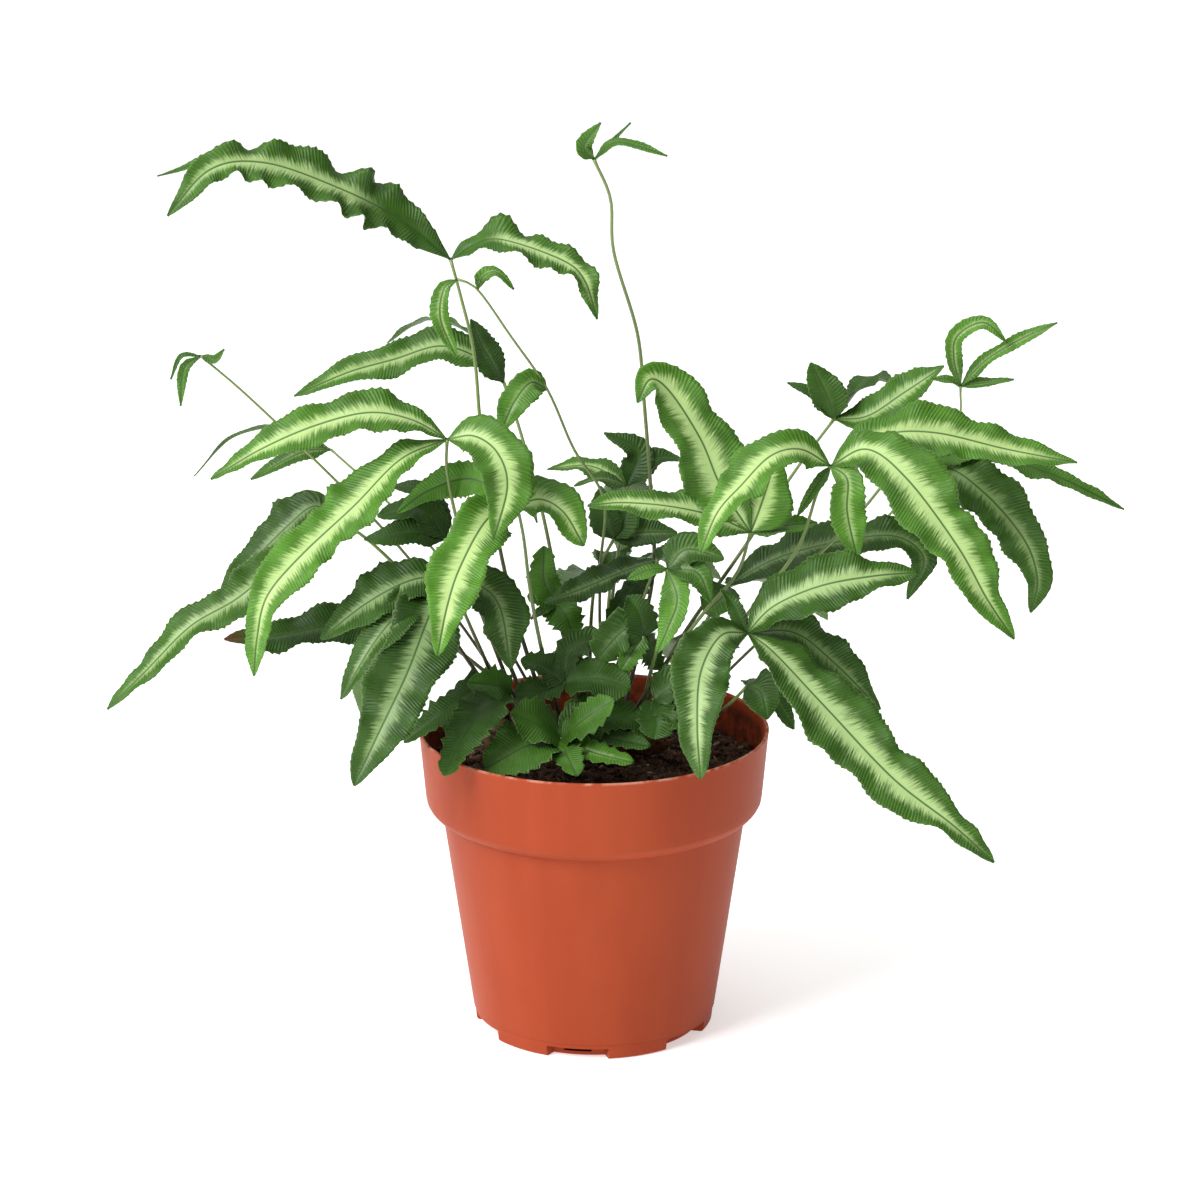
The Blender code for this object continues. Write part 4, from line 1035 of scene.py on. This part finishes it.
def add_pot():
    """The pot's skin: up the inside from the floor, over the lip, down the outside, under the foot."""
    angle = np.linspace(0, 2 * np.pi, 360, endpoint=False)[None, :]
    at_edges = [1.4, 1.5, 3.2, 3.3, 3.45, 3.55, 4.6, 4.75]
    steps = np.concatenate([PROFILE_HEIGHTS, np.arange(1, 93, 1.4), at_edges])
    height = np.unique(steps)[:, None] * MM
    notch = from_notch(angle)
    cut = NOTCH_DEPTH * (notch < NOTCH_HALF_ANGLE) * (height < NOTCH_HEIGHT)
    drain = (notch < DRAIN_HALF_ANGLE) * (height > 1.45 * MM) * (height < 3.25 * MM)
    outer = outside_radius(height) - cut - DRAIN_DEPTH * drain
    pocket = (notch < NOTCH_HALF_ANGLE + WALL / outside_radius(0)) * (height < NOTCH_HEIGHT + WALL)
    inner = outside_radius(height) - WALL - (NOTCH_DEPTH + DRAIN_DEPTH) * pocket
    inner, inner_height = inner[height[:, 0] > WALL], height[height[:, 0] > WALL]
    inner, inner_height = inner[:-3], inner_height[:-3]
    floor, base = inner[:1], outer[:1]
    closing = [0.01 * floor, 0.5 * floor], [0.5 * base, 0.01 * base]
    radius = np.concatenate([*closing[0], inner, outer[::-1], *closing[1]])
    level = np.concatenate([inner_height[[0, 0]], inner_height, height[::-1], height[[0, 0]]])
    # Painted shade: the mask of the drain dents, which the material paints near-black.
    dark = np.concatenate([np.zeros((2, 360)), 0 * inner, drain[::-1], np.zeros((2, 360))])
    inside = np.zeros_like(radius)
    inside[: len(inner) + 2] = 1
    rings = np.stack([radius * np.cos(angle), radius * np.sin(angle), level + 0 * angle], -1)
    skin = Skin()
    skin.add(rings, dark=dark[..., None], inside=inside[..., None])
    made = skin.make("nursery_pot", [pot_material("terracotta_satin")])
    made.data.set_sharp_from_angle(angle=math.radians(38))
    return made


pot = add_pot()
stand_in(pot, "pot")
print("pot faces:", len(pot.data.polygons))

# %% [markdown]
# ## Peat
# Potting peat is not a surface but a heap: dark fibres and crumbs with gaps between them and a few
# light specks of bark and perlite. A bumpy sheet alone looks like fabric, so the top is rough in
# its shape and nearly two thousand crumbs lie on it, each only a few dozen faces.

# %% Peat
soil_low, soil_high = (np.array(corner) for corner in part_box("soil"))
SOIL_TOP = soil_high[2]
SOIL_RADIUS = (soil_high[0] - soil_low[0]) / 2


def ripples(x, y, seed, waves=26, longest=0.03, shortest=0.0022):
    """A rough height of about -1 to 1: a sum of plane waves in all directions, the short ones low."""
    rng = np.random.default_rng(seed)
    length = np.geomspace(longest, shortest, waves)
    angle, phase = rng.uniform(0, 2 * np.pi, (2, waves))
    total = np.zeros_like(x)
    for size, turn, start in zip(length, angle, phase):
        run = x * np.cos(turn) + y * np.sin(turn)
        total += (size / longest) ** 0.55 * np.sin(2 * np.pi * run / size + start)
    return total / 2.5


def soil_height(x, y):
    """The peat's surface: rough, and a little lower towards the pot's wall."""
    radius = np.hypot(x, y)
    return SOIL_TOP - 0.8 * MM + 1.1 * MM * ripples(x, y, 5) - 1.2 * MM * (radius / SOIL_RADIUS) ** 6


def soil_material(name):
    """Dark moist peat with brown fibres and small light flecks."""
    material, shader = node_material(name)
    t = Tree(material)
    here = t.here()
    lumps = t.noise(here, 320.0, 5.0, 0.65)
    fine = t.noise(here, 1400.0, 3.0, 0.6)
    flecks = t.node("ShaderNodeTexVoronoi", None, Vector=here, Scale=620.0).outputs["Distance"]
    brown = t.mix(t.step(lumps, 0.32, 0.68), colour(38, 24, 17), colour(108, 72, 52))
    brown = t.mix(t.times(t.step(fine, 0.6, 0.8), 0.6), brown, colour(142, 104, 80))
    brown = t.mix(t.times(t.step(flecks, 0.16, 0.06), 0.7), brown, colour(150, 124, 100))
    t.feed(shader, "Base_Color", brown)
    shader.inputs["Roughness"].default_value = 0.95
    t.feed(shader, "Normal", t.bump(t.math("ADD", lumps, fine), 0.8 * MM, 0.9))
    return material


def add_soil():
    """The peat's skin: its rough top as rings from the middle outwards, its side, whose rows keep
    two walls' thickness inside the pot's outside and clear of the notches, and its floor."""
    rings, around = 64, 192
    angle = np.linspace(0, 2 * np.pi, around, endpoint=False)
    reach = np.linspace(0.4 * MM, SOIL_RADIUS - 0.3 * MM, rings)[:, None]
    x, y = reach * np.cos(angle), reach * np.sin(angle)
    top = np.stack([x, y, soil_height(x, y)], -1)
    down = np.linspace(0, 1, 40)[1:, None]
    depth = top[-1, :, 2] + (soil_low[2] - top[-1, :, 2]) * down
    side = np.minimum(outside_radius(depth) - 2 * WALL, reach[-1])
    clear = np.minimum(side, outside_radius(0) - 2 * NOTCH_DEPTH)
    side = np.where(depth < 2 * NOTCH_HEIGHT, clear, side)
    wall = np.stack([side * np.cos(angle), side * np.sin(angle), depth], -1)
    floor = wall[-1:] * np.array([0.01, 0.01, 1])
    skin = Skin()
    skin.add(np.concatenate([top, wall, floor]))
    return skin.make("peat", [SOIL])


SOIL = soil_material("peat_brown")
peat = add_soil()
stand_in(peat, "soil")
print("peat faces:", len(peat.data.polygons))

# %% Crumbs on the peat
CRUMBS = 1600


def add_crumb(skin, centre, size, stretch, rng):
    """A crumb: a ball of 4 rings of 7, stretched, turned at random and dented by its own noise."""
    polar = np.linspace(0.5, np.pi - 0.5, 4)[:, None]
    angle = np.linspace(0, 2 * np.pi, 7, endpoint=False)[None, :]
    ball = np.stack(np.broadcast_arrays(
        np.sin(polar) * np.cos(angle), np.sin(polar) * np.sin(angle), np.cos(polar)), -1)
    ball = ball * rng.uniform(0.6, 1.3, ball.shape[:2])[..., None] * np.array([stretch, 1, 0.7])
    axis = unit(rng.normal(size=3))
    turn = rng.uniform(0, 2 * np.pi)
    ball = (
        ball * np.cos(turn)
        + np.cross(axis, ball) * np.sin(turn)
        + (ball @ axis)[..., None] * axis * (1 - np.cos(turn))
    )
    skin.add(centre + size * ball)


def add_crumbs(name, count, sizes, stretches, material, seed):
    """Crumbs scattered evenly over the peat, half sunk."""
    rng = np.random.default_rng(seed)
    skin = Skin()
    for _ in range(count):
        reach = (SOIL_RADIUS - 1.5 * MM) * math.sqrt(rng.uniform(0, 1))
        turn = rng.uniform(0, 2 * np.pi)
        x, y = reach * math.cos(turn), reach * math.sin(turn)
        size = rng.uniform(*sizes) * MM
        height = float(soil_height(np.array(x), np.array(y)))
        add_crumb(skin, np.array([x, y, height + 0.2 * size]), size, rng.uniform(*stretches), rng)
    piece = skin.make(name, [material])
    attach(piece, "root")
    return piece


def fleck_material(name):
    """Pale tan bark and perlite."""
    material, shader = node_material(name)
    t = Tree(material)
    here = t.here()
    share = t.step(t.noise(here, 260.0, 2.0), 0.4, 0.6)
    t.feed(shader, "Base_Color", t.mix(share, colour(150, 112, 84), colour(196, 170, 142)))
    shader.inputs["Roughness"].default_value = 0.9
    return material


crumbs = add_crumbs("peat_crumbs", CRUMBS, (0.4, 1.3), (1, 1.6), SOIL, 11)
flecks = add_crumbs("peat_flecks", 320, (0.25, 0.7), (1, 2.6), fleck_material("bark_flecks"), 12)
print("crumb faces:", len(crumbs.data.polygons) + len(flecks.data.polygons))

# %% [markdown]
# ## The rootstock
# The fern creeps: its rootstock lies half in the peat like a knobbly finger, clothed in brown
# scales, and each frond stands on it. Only glimpses of it show between the stems.

# %% Rootstock
def scale_material(name):
    """Rust-brown papery scales."""
    material, shader = node_material(name)
    t = Tree(material)
    here = t.here()
    scales = t.node("ShaderNodeTexVoronoi", None, Vector=here, Scale=900.0).outputs["Distance"]
    share = t.step(scales, 0.1, 0.6)
    t.feed(shader, "Base_Color", t.mix(share, colour(40, 26, 18), colour(104, 68, 42)))
    shader.inputs["Roughness"].default_value = 0.85
    t.feed(shader, "Normal", t.bump(scales, 0.6 * MM, 0.8))
    return material


def add_rhizome():
    """A bar along the node's box whose radius swells and dents round it and along it."""
    low, high = (np.array(corner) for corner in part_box("rhizome"))
    steps, around = 90, 28
    share = np.linspace(0, 1, steps)[:, None]
    angle = np.linspace(0, 2 * np.pi, around, endpoint=False)[None, :]
    radius = (high[2] - low[2]) / 2 * np.sqrt(np.clip(1 - (2 * share - 1) ** 8, 0.02, 1))
    knobs = 0.84 + 0.1 * np.cos(10 * np.pi * share + 2 * np.sin(angle))
    knobs = knobs + 0.05 * np.sin(23 * share + 3 * angle)
    middle = (low + high) / 2
    x = low[0] + (high[0] - low[0]) * share + 0 * angle
    y = middle[1] + radius * knobs * np.cos(angle)
    z = middle[2] + radius * knobs * np.sin(angle)
    skin = Skin()
    skin.add(np.stack([x, y, z], -1))
    return skin.make("rootstock", [scale_material("rust_scales")])


rootstock = add_rhizome()
stand_in(rootstock, "rhizome")
print("rootstock faces:", len(rootstock.data.polygons))
